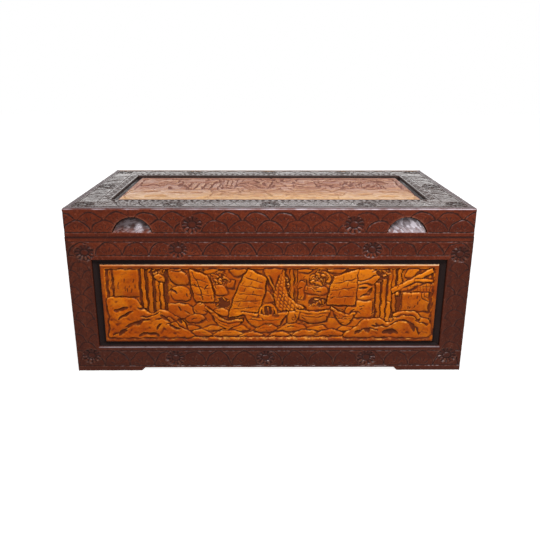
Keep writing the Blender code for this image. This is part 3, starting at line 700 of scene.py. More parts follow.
def flat_section(
    width: float,
    thickness: float,
    spacing: float,
    outer: float = 1.5,
    inner: float = 1.5,
    corner: bool = False,
) -> Section:
    """Makes the section of a flat board.

    Args:
        width: From its outer edge to its inner one.
        thickness: From its face to its back.
        spacing: Distance between carved rows.
        outer: Radius of the outer arris.
        inner: Radius of the inner arris.
        corner: Whether the outer edge is a mitred corner of the chest.

    Returns:
        The section.
    """
    start = outer * (1 - math.sqrt(0.5)) if corner else 0.0
    run = start + eased_lines(width - start, spacing)
    arris = np.maximum(rounding(run, outer), rounding(width - run, inner))
    lean = np.tile([0.0, 1.0], (len(run), 1))
    foot = thickness if corner else 0.0
    return Section(run, np.zeros_like(run), lean, run, arris, [(width, thickness), (foot, thickness)])


def rim_section(height: float, edge: float, strip: float, shoulder: float, thickness: float) -> Section:
    """Makes the section of a lid apron, carved on its face and folded over the lid's edge.

    Args:
        height: Height of its face.
        edge: Radius of the lid's edge.
        strip: Width of its top.
        shoulder: Depth of the rebate that the lid's boards lie in.
        thickness: Thickness under the rebate.

    Returns:
        The section, from the seam up.
    """
    front = eased_lines(height - edge, 1.1)
    angle = np.linspace(0, np.pi / 2, 9)[1:]
    top = np.linspace(edge, strip, 10)[1:]
    turned = edge * np.sin(angle)
    across = np.concatenate([front, height - edge + turned, np.full(len(top), height)])
    depth = np.concatenate([np.zeros(len(front)), edge * (1 - np.cos(angle)), top])
    out = np.concatenate([np.ones(len(front)), np.cos(angle), np.zeros(len(top))])
    up = np.concatenate([np.zeros(len(front)), np.sin(angle), np.ones(len(top))])
    run = np.concatenate([front, height - edge + edge * angle, height - edge + edge * np.pi / 2 + top - edge])
    arris = np.maximum(rounding(run, 0.9), rounding(run[-1] - run, 0.5))
    back = [(height - shoulder, strip), (height - shoulder, thickness), (0.0, thickness)]
    return Section(across, depth, np.column_stack([up, out]), run, arris, back)


def pick(piece: Object) -> None:
    """Selects one piece alone and makes it the active one."""
    bpy.ops.object.select_all(action="DESELECT")
    piece.select_set(True)
    bpy.context.view_layer.objects.active = piece


@contextmanager
def editing(piece: Object) -> Iterator[None]:
    """Opens a piece in edit mode, with all of it selected, while a block runs."""
    pick(piece)
    bpy.ops.object.mode_set(mode="EDIT")
    bpy.ops.mesh.select_all(action="SELECT")
    yield
    bpy.ops.object.mode_set(mode="OBJECT")


def cut_away(piece: Object, cutter: Object) -> None:
    """Takes the shape of a cutter out of a piece, and the cutter out of the scene."""
    cut = piece.modifiers.new("cut", "BOOLEAN")
    cut.object = cutter
    pick(piece)
    bpy.ops.object.modifier_apply(modifier=cut.name)
    bpy.data.objects.remove(cutter)


def bevel_off(piece: Object, point: Vector, normal: Vector) -> None:
    """Saws off what lies past a plane, the way that its normal points, and closes the cut."""
    with editing(piece):
        bpy.ops.mesh.bisect(plane_co=point, plane_no=normal, use_fill=True, clear_outer=True)


def make_sheet(name: str, points: Grid, masks: dict[str, Grid]) -> Object:
    """Shapes a grid into a tube that closes on itself, with its two ends filled.

    Args:
        name: The piece's name.
        points: Rows and columns of points in metres. The last row lies on the first.
        masks: Values for each point, kept with the mesh by name.

    Returns:
        The new piece.
    """
    rows, columns = points.shape[:2]
    bpy.ops.object.select_all(action="DESELECT")
    bpy.ops.mesh.primitive_grid_add(x_subdivisions=columns - 1, y_subdivisions=rows - 1, size=1.0)
    piece = bpy.context.object
    piece.name = piece.data.name = name
    piece.data.vertices.foreach_set("co", points.astype(np.float32).ravel())
    for mask_name, values in masks.items():
        layer = piece.data.attributes.new(mask_name, "FLOAT", "POINT")
        layer.data.foreach_set("value", values.astype(np.float32).ravel())
    with editing(piece):
        bpy.ops.mesh.remove_doubles(threshold=1e-6)
        bpy.ops.mesh.select_all(action="SELECT")
        bpy.ops.mesh.fill_holes(sides=0)
        bpy.ops.mesh.select_all(action="SELECT")
        bpy.ops.mesh.normals_make_consistent(inside=False)
    bpy.ops.object.shade_smooth_by_angle(angle=math.radians(48))
    return piece


@dataclass
class SweptBoard:
    """A board made by sweeping its section along one side of a face, with relief on its carved side.

    Attributes:
        name: The piece's name.
        face: The face that it lies in.
        corner: Where it starts, at its outer edge.
        turn: Quarter turns of its length from the face's own u: 0 bottom, 1 right, 2 top, 3 left.
        length: Its length along the outer edge.
        section: Its section.
        start: The cut at its start.
        end: The cut at its end.
        spacing: Distance between columns.
        sink: Depth of its whole face under the face that it lies in.
    """

    name: str
    face: Face
    corner: Point
    turn: int
    length: float
    section: Section
    start: EndCut = EndCut()
    end: EndCut = EndCut()
    spacing: float = 1.1
    sink: float = 0.0

    def on_face(self, along: Grid, across: Grid) -> tuple[Grid, Grid]:
        """Turns the board's own places into places on the face."""
        for _ in range(self.turn):
            along, across = -across, along
        return self.corner[0] + along, self.corner[1] + across

    def build(self, carve: Callable[[Relief], None] | None = None) -> Object:
        """Builds the board.

        Args:
            carve: Works the relief on it.

        Returns:
            The new piece.
        """
        shape = self.section
        back = np.array(shape.back)
        across = np.concatenate([shape.across, back[:, 0]])[:, None]
        depth = np.concatenate([shape.depth, back[:, 1]])[:, None]
        start = self.start.place(across, depth)
        end = self.length - self.end.place(across, depth)
        share = eased_lines(self.length, self.spacing)[None, :] / self.length
        along = start + share * (end - start)
        carved = len(shape.run)
        run = np.broadcast_to(shape.run[:, None], along[:carved].shape)
        relief = Relief(*self.on_face(along[:carved], run))
        if carve is not None:
            carve(relief)
        heights = relief.heights() - shape.arris[:, None]
        for cut, away in ((self.start, along[:carved]), (self.end, self.length - along[:carved])):
            if cut.plan:
                heights = np.where(away < cut.radius, heights * np.clip(away / cut.radius, 0, 1), heights)
                heights = heights - rounding(away, cut.radius) * shape.lean[:, 1:]
        sides = np.broadcast_to(across, along.shape).copy()
        outs = np.broadcast_to(-depth, along.shape).copy()
        sides[:carved] += heights * shape.lean[:, :1]
        outs[:carved] += heights * shape.lean[:, 1:]
        points = self.face.to_chest(*self.on_face(along, sides), outs - self.sink)
        masks = {}
        for name, values in painted_light_and_wear_masks(relief, self.spacing).items():
            # The back rows are painted full dark in the hollow mask, as shade.
            painted_back_shade = 1.0 if name == "hollow" else 0.0
            values = np.pad(values, ((0, len(back)), (0, 0)), constant_values=painted_back_shade)
            masks[name] = np.vstack([values, values[:1]])
        return make_sheet(self.name, np.concatenate([points, points[:1]]), masks)


def ring_sides(box: Box) -> list[tuple[Point, float]]:
    """Gives the start and the length of a ring's four sides, from the low one round by the right."""
    left, right, low, high = box
    wide, tall = right - left, high - low
    return [((left, low), wide), ((right, low), tall), ((right, high), wide), ((left, high), tall)]


def opening_round(face: Face, lowest: str, highest: str) -> Box:
    """Gives a frame's opening, from the lowest and the highest of the mouldings that fill it."""
    left, right, low, _ = face.rect(lowest)
    return left - GAP, right + GAP, low - GAP, face.rect(highest)[3] + GAP


def dress(piece: Object, body: Body, slot: Slot, material: Material, *replaced: str) -> Object:
    """Puts a piece on its body with its finish, in place of CAD nodes.

    Args:
        piece: The piece.
        body: The body that it rides on.
        slot: The record's slot that its finish belongs to. It is not used.
        material: Its finish.
        *replaced: The CAD nodes that it stands for.

    Returns:
        The piece.
    """
    piece.data.materials.clear()
    piece.data.materials.append(material)
    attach(piece, body.value)
    if replaced:
        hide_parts(*replaced)
    triangles = sum(len(side.vertices) - 2 for side in piece.data.polygons)
    log.info("%s rides on %s, %d triangles", piece.name, body.value, triangles)
    return piece


def keep_solid(node: str, material: Material) -> None:
    """Gives a CAD solid that is shown as it is its finish."""
    slots = frame["nodes"][node].data.materials
    slots.clear()
    slots.append(material)
    log.info("%s keeps its CAD solid", node)


# Finishes


class Wiring:
    """Adds nodes to a node tree and joins them."""

    def __init__(self, tree: bpy.types.NodeTree) -> None:
        """Starts on a node tree."""
        self.tree = tree

    def add(self, kind: str, inputs: dict | None = None, **settings: object) -> bpy.types.Node:
        """Adds a node.

        Args:
            kind: The node's type, without its prefix.
            inputs: A value or another node's output for each input.
            **settings: Values of the node's own properties.

        Returns:
            The node.
        """
        node = self.tree.nodes.new(kind if kind.startswith("NodeGroup") else "ShaderNode" + kind)
        for name, value in settings.items():
            setattr(node, name, value)
        for name, value in (inputs or {}).items():
            self.feed(node, name, value)
        return node

    def feed(self, node: bpy.types.Node, name: str | int, value: object) -> None:
        """Gives an input its value, or joins another node's output to it."""
        if isinstance(value, Socket):
            self.tree.links.new(value, node.inputs[name])
        else:
            node.inputs[name].default_value = value

    def mix(self, share: object, first: Socket | Colour, second: Socket | Colour) -> Socket:
        """Mixes two colours by a share of the second."""
        first, second = ((*colour, 1) if isinstance(colour, tuple) else colour for colour in (first, second))
        return self.add("Mix", {0: share, 6: first, 7: second}, data_type="RGBA").outputs[2]

    def sum(self, kind: str, *values: object) -> Socket:
        """Works out a sum of a kind."""
        return self.add("Math", dict(enumerate(values)), operation=kind).outputs[0]

    def times(self, first: object, second: object) -> Socket:
        """Multiplies two values."""
        return self.sum("MULTIPLY", first, second)

    def noise(self, place: Socket, scale: float, detail: float, warp: float = 0.0) -> Socket:
        """Draws soft noise over a place's coordinates."""
        inputs = {"Vector": place, "Scale": scale, "Detail": detail, "Distortion": warp}
        return self.add("TexNoise", inputs).outputs[0]

    def spread(
        self, value: Socket, low: float, high: float, to_low: float = 0.0, to_high: float = 1.0
    ) -> Socket:
        """Maps a value from one range to another, held at both ends."""
        inputs = {"Value": value, "From Min": low, "From Max": high, "To Min": to_low, "To Max": to_high}
        return self.add("MapRange", inputs, clamp=True).outputs[0]


def start_material(name: str) -> tuple[Material, Wiring, bpy.types.Node]:
    """Starts a material and gives it with its wiring and its shader."""
    made = bpy.data.materials.new(name)
    made.use_nodes = True
    return made, Wiring(made.node_tree), made.node_tree.nodes["Principled BSDF"]


def new_group(name: str, inputs: dict[str, object], outputs: dict[str, str]) -> tuple[Wiring, dict, object]:
    """Starts a node group.

    Args:
        name: The group's name.
        inputs: Each input's starting value: a number, a colour or None for a vector.
        outputs: Each output's socket type.

    Returns:
        The group's wiring, its inputs' sockets by name and its output node.
    """
    tree = bpy.data.node_groups.new(name, "ShaderNodeTree")
    for label, value in inputs.items():
        kind = "NodeSocketVector" if value is None else "NodeSocketFloat"
        kind = "NodeSocketColor" if isinstance(value, tuple) else kind
        socket = tree.interface.new_socket(label, in_out="INPUT", socket_type=kind)
        if value is not None:
            socket.default_value = value
    for label, kind in outputs.items():
        tree.interface.new_socket(label, in_out="OUTPUT", socket_type=kind)
    wiring = Wiring(tree)
    start = wiring.add("NodeGroupInput")
    end = wiring.add("NodeGroupOutput")
    return wiring, {socket.name: socket for socket in start.outputs}, end


def make_grain_group() -> None:
    """Makes the group that draws wood grain along X: slow bands, fine fibres and pores."""
    outputs = dict.fromkeys(("Figure", "Fibre", "Pores"), "NodeSocketFloat")
    wiring, inputs, end = new_group("wood_grain", {"Vector": None, "Length": 14.0}, outputs)
    parts = wiring.add("SeparateXYZ", {0: inputs["Vector"]}).outputs
    drawn_out = wiring.sum("DIVIDE", parts[0], inputs["Length"])
    vector = wiring.add("CombineXYZ", {0: drawn_out, 1: parts[1], 2: parts[2]}).outputs[0]
    sizes = {"Figure": (22.0, 3.0, 1.2), "Fibre": (260.0, 4.0, 0.4), "Pores": (900.0, 2.0, 0.0)}
    for label, size in sizes.items():
        wiring.feed(end, label, wiring.spread(wiring.noise(vector, *size), 0.3, 0.7))


def make_wax_and_light_group() -> None:
    """Makes the group that paints shade into the hollows, paints highlights, and wears the proud edges of a
    carved surface.
    """
    names = ("Colour", "Low colour", "Hollow colour", "Worn colour", "Glint colour", "Rubbed colour")
    inputs = dict.fromkeys(names, (0.5, 0.5, 0.5, 1.0)) | {"Vector": None, "Dark": 1.0, "Wear": 1.0}
    outputs = {"Colour": "NodeSocketColor", "Dark": "NodeSocketFloat", "Rubbed": "NodeSocketFloat"}
    wiring, sockets, end = new_group("wax_wear_and_painted_light", inputs, outputs)
    hollow, glint, proud, low, rubbed = (
        wiring.add("Attribute", attribute_name=name).outputs["Fac"]
        for name in ("hollow", "glint", "proud", "low", "rubbed")
    )
    uneven = wiring.noise(sockets["Vector"], 60.0, 3.0)
    fine = wiring.noise(sockets["Vector"], 110.0, 2.0)
    along = wiring.add("SeparateXYZ", {0: sockets["Vector"]}).outputs[0]
    # Painted glints, brighter towards the chest's right end, where the light falls.
    shine = wiring.times(wiring.spread(fine, 0.48, 0.64), wiring.spread(along, -0.42, 0.05, 0.4, 1.0))
    glint = wiring.times(glint, shine)
    hollow = wiring.times(hollow, sockets["Dark"])
    # Painted shade in the low ground and round the hollows, with wax and some stain.
    stained = wiring.sum("MAXIMUM", wiring.spread(low, 0.48, 0.95), wiring.spread(hollow, 0.0, 0.32))
    stained = wiring.times(stained, wiring.spread(uneven, 0.3, 0.6, 0.7, 1.0))
    # The darkest painted shade and wax, in the hollows and the deepest cuts.
    dark = wiring.times(wiring.spread(hollow, 0.22, 0.65), wiring.spread(uneven, 0.3, 0.55, 0.5, 1.0))
    dark = wiring.times(wiring.sum("MAXIMUM", dark, wiring.spread(low, 0.84, 1.0, 0.0, 0.9)), 0.88)
    patchy = wiring.times(wiring.spread(uneven, 0.35, 0.6, 0.3, 1.0), sockets["Wear"])
    worn = wiring.times(wiring.spread(proud, 0.12, 0.8), patchy)
    rubbed = wiring.times(rubbed, wiring.spread(uneven, 0.35, 0.55, 0.6, 1.0))
    colour = sockets["Colour"]
    # Painted shade, worn edges, the darkest shade, painted glints and painted highlights, in turn.
    layers = {"Low": stained, "Worn": worn, "Hollow": dark, "Glint": glint, "Rubbed": rubbed}
    for name, share in layers.items():
        colour = wiring.mix(share, colour, sockets[f"{name} colour"])
    for name, socket in (("Colour", colour), ("Dark", dark), ("Rubbed", rubbed)):
        wiring.feed(end, name, socket)


@dataclass(frozen=True)
class WoodFinish:
    """A wood and what is on it.

    Attributes:
        name: The finish's name.
        light: Colour of the light grain.
        deep: Colour of the dark grain.
        patch: Colour of the slow stains.
        low: Colour of low ground and of the slopes down to a hollow, painted shade with some stain.
        hollow: Colour of wax in the hollows and of the painted shade round them.
        worn: Colour of edges that stand proud.
        glint: Colour of the painted highlights on upper slopes.
        rubbed: Colour of painted highlights and reflections, partly where hands have worn the finish through.
        roughness: Roughness of the clean surface.
        gloss: Strength of its reflections, as the shader's specular level.
        bump: Height of the fibres, as a share of the usual.
        wear: How strongly edges wear.
        fleck: How strongly fine tool marks lighten and darken it.
        warm: How strongly slow patches lighten it.
        bare: Dark and light colour of the bare wood on the inside of a back board, if it has one.
    """

    name: str
    light: Colour
    deep: Colour
    patch: Colour
    low: Colour
    hollow: Colour
    worn: Colour
    glint: Colour
    rubbed: Colour
    roughness: float
    gloss: float = 0.2
    bump: float = 1.0
    wear: float = 1.0
    fleck: float = 0.3
    warm: float = 0.0
    bare: tuple[Colour, Colour] | None = None

    def material(self, grain: Grain) -> Material:
        """Makes the finish, or finds it if it is made.

        Args:
            grain: The axis that its grain runs along.

        Returns:
            The material.
        """
        label = f"{self.name}_{grain.name.lower()}"
        if label in bpy.data.materials:
            return bpy.data.materials[label]
        made, wiring, shader = start_material(label)
        place = wiring.add("TexCoord").outputs["Object"]
        turns = {Grain.X: (0.0, 0.0, 0.0), Grain.Y: (0.0, 0.0, math.pi / 2), Grain.Z: (0.0, math.pi / 2, 0.0)}
        turned = wiring.add("Mapping", {"Vector": place, "Rotation": turns[grain]}).outputs[0]
        grained = wiring.add("Group", node_tree=bpy.data.node_groups["wood_grain"])
        wiring.feed(grained, "Vector", turned)
        figure, fibre, pores = (grained.outputs[name] for name in ("Figure", "Fibre", "Pores"))
        stains = wiring.noise(place, 14.0, 4.0, 0.8)
        mottle = wiring.noise(place, 55.0, 3.0, 0.6)
        marks = wiring.noise(place, 190.0, 2.0, 1.2)
        cloudy = wiring.spread(stains, 0.42, 0.66, 0.0, 0.75)
        blotches = wiring.sum("MAXIMUM", cloudy, wiring.spread(mottle, 0.52, 0.7, 0.0, 0.8))
        timber = wiring.mix(figure, self.deep, self.light)
        for share, colour in (
            (wiring.spread(fibre, 0.2, 0.9, 0.0, 0.4), self.deep),
            (blotches, self.patch),
            (wiring.spread(stains, 0.36, 0.5, self.warm, 0.0), self.worn),
            (wiring.spread(marks, 0.58, 0.74, 0.0, self.fleck), self.worn),
            (wiring.spread(marks, 0.3, 0.42, 2 * self.fleck, 0.0), self.low),
        ):
            timber = wiring.mix(share, timber, colour)
        if self.bare:
            depth = wiring.add("SeparateXYZ", {"Vector": place}).outputs["Y"]
            inside = wiring.spread(depth, STAIN_EDGE - 0.0005, STAIN_EDGE + 0.0005, 1.0, 0.0)
            timber = wiring.mix(inside, timber, wiring.mix(figure, *self.bare))
        # The group paints shade and highlights over the timber's colour.
        painted_shading = wiring.add("Group", node_tree=bpy.data.node_groups["wax_wear_and_painted_light"])
        for name, value in (("Colour", timber), ("Vector", place), ("Wear", self.wear)):
            wiring.feed(painted_shading, name, value)
        # The masks' colours: painted shade, worn edges, painted glints and painted highlights.
        for name in ("low", "hollow", "worn", "glint", "rubbed"):
            wiring.feed(painted_shading, f"{name.capitalize()} colour", (*getattr(self, name), 1))
        wiring.feed(shader, "Base Color", painted_shading.outputs["Colour"])
        rough = wiring.spread(stains, 0.3, 0.7, self.roughness * 0.8, self.roughness * 1.2)
        rough = wiring.sum("MULTIPLY_ADD", painted_shading.outputs["Dark"], 0.25, rough)
        wiring.feed(shader, "Roughness", wiring.sum("MULTIPLY_ADD", painted_shading.outputs["Rubbed"], -0.1, rough))
        shader.inputs["Specular IOR Level"].default_value = self.gloss
        tool_marks = wiring.noise(place, 160.0, 2.0)
        height = wiring.sum("MULTIPLY_ADD", fibre, 0.5, wiring.sum("MULTIPLY_ADD", pores, 0.25, tool_marks))
        bumps = wiring.add("Bump", {"Height": height, "Strength": 0.5 * self.bump, "Distance": 0.0008})
        wiring.feed(shader, "Normal", bumps.outputs[0])
        return made


# In each finish the low and hollow colours paint shade, with wax and stain, and the glint and rubbed colours
# paint highlights and reflections.
HARDWOOD = WoodFinish(
    name="stained_hardwood", light=(0.19, 0.034, 0.011), deep=(0.085, 0.013, 0.005),
    patch=(0.09, 0.014, 0.005), low=(0.055, 0.013, 0.008), hollow=(0.024, 0.009, 0.007),
    worn=(0.26, 0.085, 0.05), glint=(0.42, 0.33, 0.33), rubbed=(0.66, 0.6, 0.66),
    roughness=0.36, gloss=0.1, fleck=0.45,
)
# A darker copy of the hardwood: painted shade for the stiles and the bottom rail, which take less light than
# the top rail.
SHADED_HARDWOOD = replace(
    HARDWOOD, name="stained_hardwood_dark", light=(0.13, 0.026, 0.01), deep=(0.058, 0.011, 0.005),
    patch=(0.06, 0.012, 0.006), worn=(0.19, 0.085, 0.055), fleck=0.4,
)
# The hardwood greyed: the sheen that the lid's top shows at a grazing view, painted into its colour.
SHEEN_HARDWOOD = replace(
    HARDWOOD, name="stained_hardwood_top", light=(0.08, 0.04, 0.03), deep=(0.042, 0.022, 0.018),
    patch=(0.05, 0.027, 0.022), low=(0.026, 0.016, 0.014), worn=(0.11, 0.08, 0.072),
    glint=(0.13, 0.11, 0.105), gloss=0.2, fleck=0.4,
)
# Its glint colour paints orange highlights on upper slopes, and its rubbed colour the cream highlight along
# the top bead.
VARNISHED = WoodFinish(
    name="carved_camphor", light=(0.8, 0.19, 0.003), deep=(0.54, 0.095, 0.002), patch=(0.4, 0.06, 0.003),
    low=(0.19, 0.03, 0.005), hollow=(0.085, 0.02, 0.007), worn=(0.84, 0.26, 0.008), glint=(0.9, 0.36, 0.06),
    rubbed=(0.9, 0.62, 0.36), roughness=0.3, gloss=0.08, bump=0.8, wear=0.6, fleck=0.22, warm=0.4,
)
# The carved camphor paled: the sheen that the lid's panel shows at a grazing view, painted into its colour.
SHEEN_CAMPHOR = WoodFinish(
    name="camphor_painted_sheen", light=(0.57, 0.31, 0.2), deep=(0.38, 0.19, 0.14), patch=(0.32, 0.14, 0.1),
    low=(0.31, 0.14, 0.105), hollow=(0.2, 0.09, 0.07), worn=(0.62, 0.38, 0.24), glint=(0.66, 0.48, 0.4),
    rubbed=(0.68, 0.42, 0.2), roughness=0.5, gloss=0.05, wear=0.6, fleck=0.4,
)
EBONISED = WoodFinish(
    name="ebonised_moulding", light=(0.026, 0.015, 0.014), deep=(0.012, 0.008, 0.008),
    patch=(0.022, 0.013, 0.012), low=(0.014, 0.009, 0.009), hollow=(0.005, 0.003, 0.003),
    worn=(0.05, 0.035, 0.03), glint=(0.08, 0.07, 0.07), rubbed=(0.2, 0.17, 0.16),
    roughness=0.45, gloss=0.05, bump=0.5, fleck=0.15,
)
CAMPHOR = WoodFinish(
    name="plain_camphor", light=(0.5, 0.33, 0.19), deep=(0.33, 0.18, 0.09), patch=(0.4, 0.2, 0.1),
    low=(0.3, 0.16, 0.08), hollow=(0.1, 0.05, 0.03), worn=(0.6, 0.42, 0.27), glint=(0.6, 0.42, 0.27),
    rubbed=(0.6, 0.42, 0.27), roughness=0.6, gloss=0.2, bump=1.2, fleck=0.1,
)
STAINED_OUTSIDE = replace(HARDWOOD, name="camphor_stained_outside", bare=(CAMPHOR.deep, CAMPHOR.light))


@dataclass(frozen=True)
class BrassFinish:
    """Brass that has dulled, with tarnish in patches and fine scratches."""

    name: str = "aged_brass"
    bright: Colour = (0.62, 0.43, 0.18)
    tarnish: Colour = (0.19, 0.11, 0.05)

    def material(self) -> Material:
        """Makes the finish."""
        made, wiring, shader = start_material(self.name)
        shader.inputs["Metallic"].default_value = 1.0
        place = wiring.add("TexCoord").outputs["Object"]
        stretched = wiring.add("Mapping", {"Vector": place, "Scale": (60.0, 1400.0, 1400.0)}).outputs[0]
        scratches = wiring.noise(stretched, 1.0, 3.0)
        dull = wiring.spread(wiring.noise(place, 90.0, 5.0), 0.42, 0.7, 0.0, 0.85)
        wiring.feed(shader, "Base Color", wiring.mix(dull, self.bright, self.tarnish))
        rough = wiring.spread(scratches, 0.3, 0.7, 0.25, 0.42)
        wiring.feed(shader, "Roughness", wiring.sum("ADD", rough, wiring.times(dull, 0.2)))
        bumps = wiring.add("Bump", {"Height": scratches, "Strength": 0.15, "Distance": 0.0002})
        wiring.feed(shader, "Normal", bumps.outputs[0])
        return made


# Pictures that the panels carry


def rectangle(left: float, right: float, low: float, high: float) -> list[Point]:
    """Gives a rectangle's corners, anticlockwise from the lowest left."""
    return [(left, low), (right, low), (right, high), (left, high)]


def ribbon(path: Line, width: float, taper: float = 0.0) -> Grid:
    """Outlines a band along a path.

    Args:
        path: The middle of the band.
        width: Its width at its start.
        taper: How much of the width is lost at its end.

    Returns:
        The closed outline's points.
    """
    points = np.array(path, dtype=float)
    half = width / 2 * (1 - taper * np.linspace(0, 1, len(points)))[:, None]
    side = leftward(points) * half
    return np.vstack([points + side, (points - side)[::-1]])


def heading(turn: float) -> Grid:
    """Gives a step of 1 at an angle from level."""
    return np.array([math.cos(turn), math.sin(turn)])


def chance_spot(chance: np.random.Generator, centre: Point, radii: Point, share: float) -> Grid:
    """Picks a spot in the middle share of an oval's area."""
    way, reach = chance.uniform(0, 2 * math.pi), math.sqrt(chance.uniform(0, share))
    return np.array(centre) + np.array(radii) * reach * heading(way)


@dataclass
class Carver:
    """Cuts the motifs of a river scene into one relief. Heights are below the panel's bead.

    Attributes:
        relief: The relief that it works.
        ground: Height of the open sky and water.
        gap: Height of the darkest gaps.
    """

    relief: Relief
    ground: float = -2.9
    gap: float = -4.9

    def field(self, left: float, right: float, low: float, high: float) -> None:
        """Lays the ground inside a rectangle."""
        level = lambda u, v: self.ground + 0.3 * ripple(u, v, 9.0)
        self.relief.stamp(rectangle(left, right, low, high), level, 1.2, 0.4, trench=1.6, halo=2.4)

    def block(self, outline: Line, level: float = -1.5, **edge: float) -> None:
        """Stands a shape up, leaning a little its own way and uneven as a gouge leaves it.

        Args:
            outline: Its closed outline.
            level: Its height.
            **edge: How its edge is stamped.
        """
        shape = np.array(outline, dtype=float)
        middle = shape.mean(axis=0)
        lean = (0.016 * math.sin(middle[0]), 0.024 * math.cos(middle[1]))

        def uneven(u: Grid, v: Grid) -> Grid:
            """Gives the height at each place."""
            tilt = lean[0] * (u - middle[0]) + lean[1] * (v - middle[1])
            return level + np.clip(tilt, -0.5, 0.5) + 0.3 * ripple(u, v, 8.0, middle[0])

        self.relief.stamp(shape, uneven, **edge)

    def patch(self, outline: Sequence[Point], level: float = -1.9, **edge: float) -> None:
        """Stands up a patch of sky or water with soft corners."""
        self.block(smooth(outline, closed=True, steps=3), level, **{"trench": 1.9, **edge})

    def dashes(self, low: Point, high: Point, count: int, length: float, seed: int) -> None:
        """Scatters short upright cuts over a wall.

        Args:
            low: The wall's lowest corner.
            high: Its highest corner.
            count: How many cuts there are.
            length: Their usual length.
            seed: Where the drawing of places starts.
        """
        chance = np.random.default_rng(seed)
        for _ in range(count):
            u, v = chance.uniform(low[0], high[0]), chance.uniform(low[1], high[1])
            self.relief.incise([(u, v), (u + 1.2, v + length * chance.uniform(0.6, 1.2))], 2.8, 1.3)

    def trunk(self, path: Sequence[Point], width: float) -> None:
        """Stands up a tree trunk along a path, with a split in its bark."""
        middle = smooth(path)
        self.block(ribbon(middle, width), -1.6, shoulder=width * 0.6, drop=2.4, halo=3.4)
        self.relief.incise(middle + [width * 0.14, 0], 2.2, 1.2)

    def grove(self, outline: Sequence[Point], trunks: Sequence[tuple[float, float, float, float]]) -> None:
        """Sinks a dark gap and stands trunks in it.

        Args:
            outline: The gap's outline.
            trunks: For each trunk its place, its width, its foot and its top.
        """
        self.relief.stamp(outline, self.gap + 0.2, 0.8, 0.2, trench=1.5)
        for index, (u, width, low, high) in enumerate(trunks):
            lean = 2.0 * math.sin(2.3 * index + 1)
            self.trunk([(u + lean, low), (u - 0.6 * lean, (low + high) / 2), (u - lean, high)], 1.3 * width)

    def leaves(self, centre: Point, radii: Point, count: int, seed: int) -> None:
        """Sinks a dark hollow and scatters small leaves in it.

        Args:
            centre: The hollow's middle.
            radii: Its half-width and half-height.
            count: How many leaves there are.
            seed: Where the drawing of places starts.
        """
        self.relief.stamp(arc(centre, radii, 0, 360, 14), self.gap, 1.0, 0.3, trench=1.6, halo=4.0)
        chance = np.random.default_rng(seed)
        for _ in range(count):
            place = chance_spot(chance, centre, radii, 0.8)
            half = heading(chance.uniform(0, math.pi)) * chance.uniform(3.0, 5.0)
            leaf = ribbon([place - half, place, place + half], 3.6)
            self.block(leaf, -3.0, shoulder=2.0, drop=1.0, trench=1.4, halo=2.0)

    def pine(self, centre: Point, radii: Point, start: float, end: float, needles: int) -> None:
        """Bends a branch round a dark hollow with tufts of needles in it.

        Args:
            centre: The hollow's middle.
            radii: Its half-width and half-height.
            start: Where the branch starts round it, in degrees.
            end: Where it ends.
            needles: How many tufts of needles fill it.
        """
        chance = np.random.default_rng(int(abs(centre[0] * 3 + centre[1])))
        rim = arc(centre, radii, 0, 360, 9)[:-1]
        rim = centre + (rim - centre) * chance.uniform(0.85, 1.15, (8, 1))
        self.relief.stamp(smooth(rim, closed=True), self.gap + 0.7, 1.0, 0.3, trench=1.6)
        for _ in range(needles):
            place = chance_spot(chance, centre, radii, 0.7)
            half = heading(chance.uniform(-0.9, 0.9)) * chance.uniform(5.0, 9.5)
            bow = np.array([-half[1], half[0]]) * 0.35
            tuft = ribbon(smooth([place - half, place + bow, place + half]), chance.uniform(5.5, 9.0), 0.4)
            self.block(tuft, -2.3, shoulder=3.0, drop=1.4, trench=2.2, halo=2.8)
        branch = arc(centre, (radii[0] * 1.1, radii[1] * 1.1), start, end, 6)
        branch = smooth(branch + chance.uniform(-1.6, 1.6, branch.shape))
        self.block(ribbon(branch, 8.5, 0.6), -1.7, shoulder=4.0, drop=1.6, trench=2.0)
        for place in branch[1::3]:
            self.lens(tuple(place), (6.0, 1.6), chance.uniform(0, 180), 1.6)

    def curl(self, centre: Point, radius: float, turns: float = 1.6) -> None:
        """Cuts a spiral."""
        share = np.linspace(0.12, 1, 22)[:, None]
        way = 2 * math.pi * turns * share
        spiral = radius * share * np.hstack([np.cos(way), np.sin(way)])
        self.relief.incise(np.array(centre) + spiral, 2.6, 1.6)

    def lens(self, centre: Point, radii: Point, turn: float, depth: float = 4.2) -> None:
        """Gouges a crooked hollow, steep and dark above and run out below."""
        bend = 0.9 * math.sin(centre[0] + 2 * centre[1])
        self.relief.scoop(centre, (radii[0] * 1.1, radii[1] * 1.3), depth, turn, 0.9, bend)

    def gouges(self, low: Point, high: Point, count: int, size: Point, depth: float, seed: int) -> None:
        """Leaves short crooked gouge marks over a busy part.

        Args:
            low: The part's lowest corner.
            high: Its highest corner.
            count: How many marks there are.
            size: Half-length and half-width of the largest.
            depth: Its depth.
            seed: Where the drawing of places starts.
        """
        chance = np.random.default_rng(seed)
        for _ in range(count):
            place = (chance.uniform(low[0], high[0]), chance.uniform(low[1], high[1]))
            share, turn = chance.uniform(0.4, 1.0), chance.normal(0, 40)
            radii = (size[0] * share, size[1] * share)
            self.relief.scoop(place, radii, depth * share, turn, 0.8, chance.uniform(-1, 1))

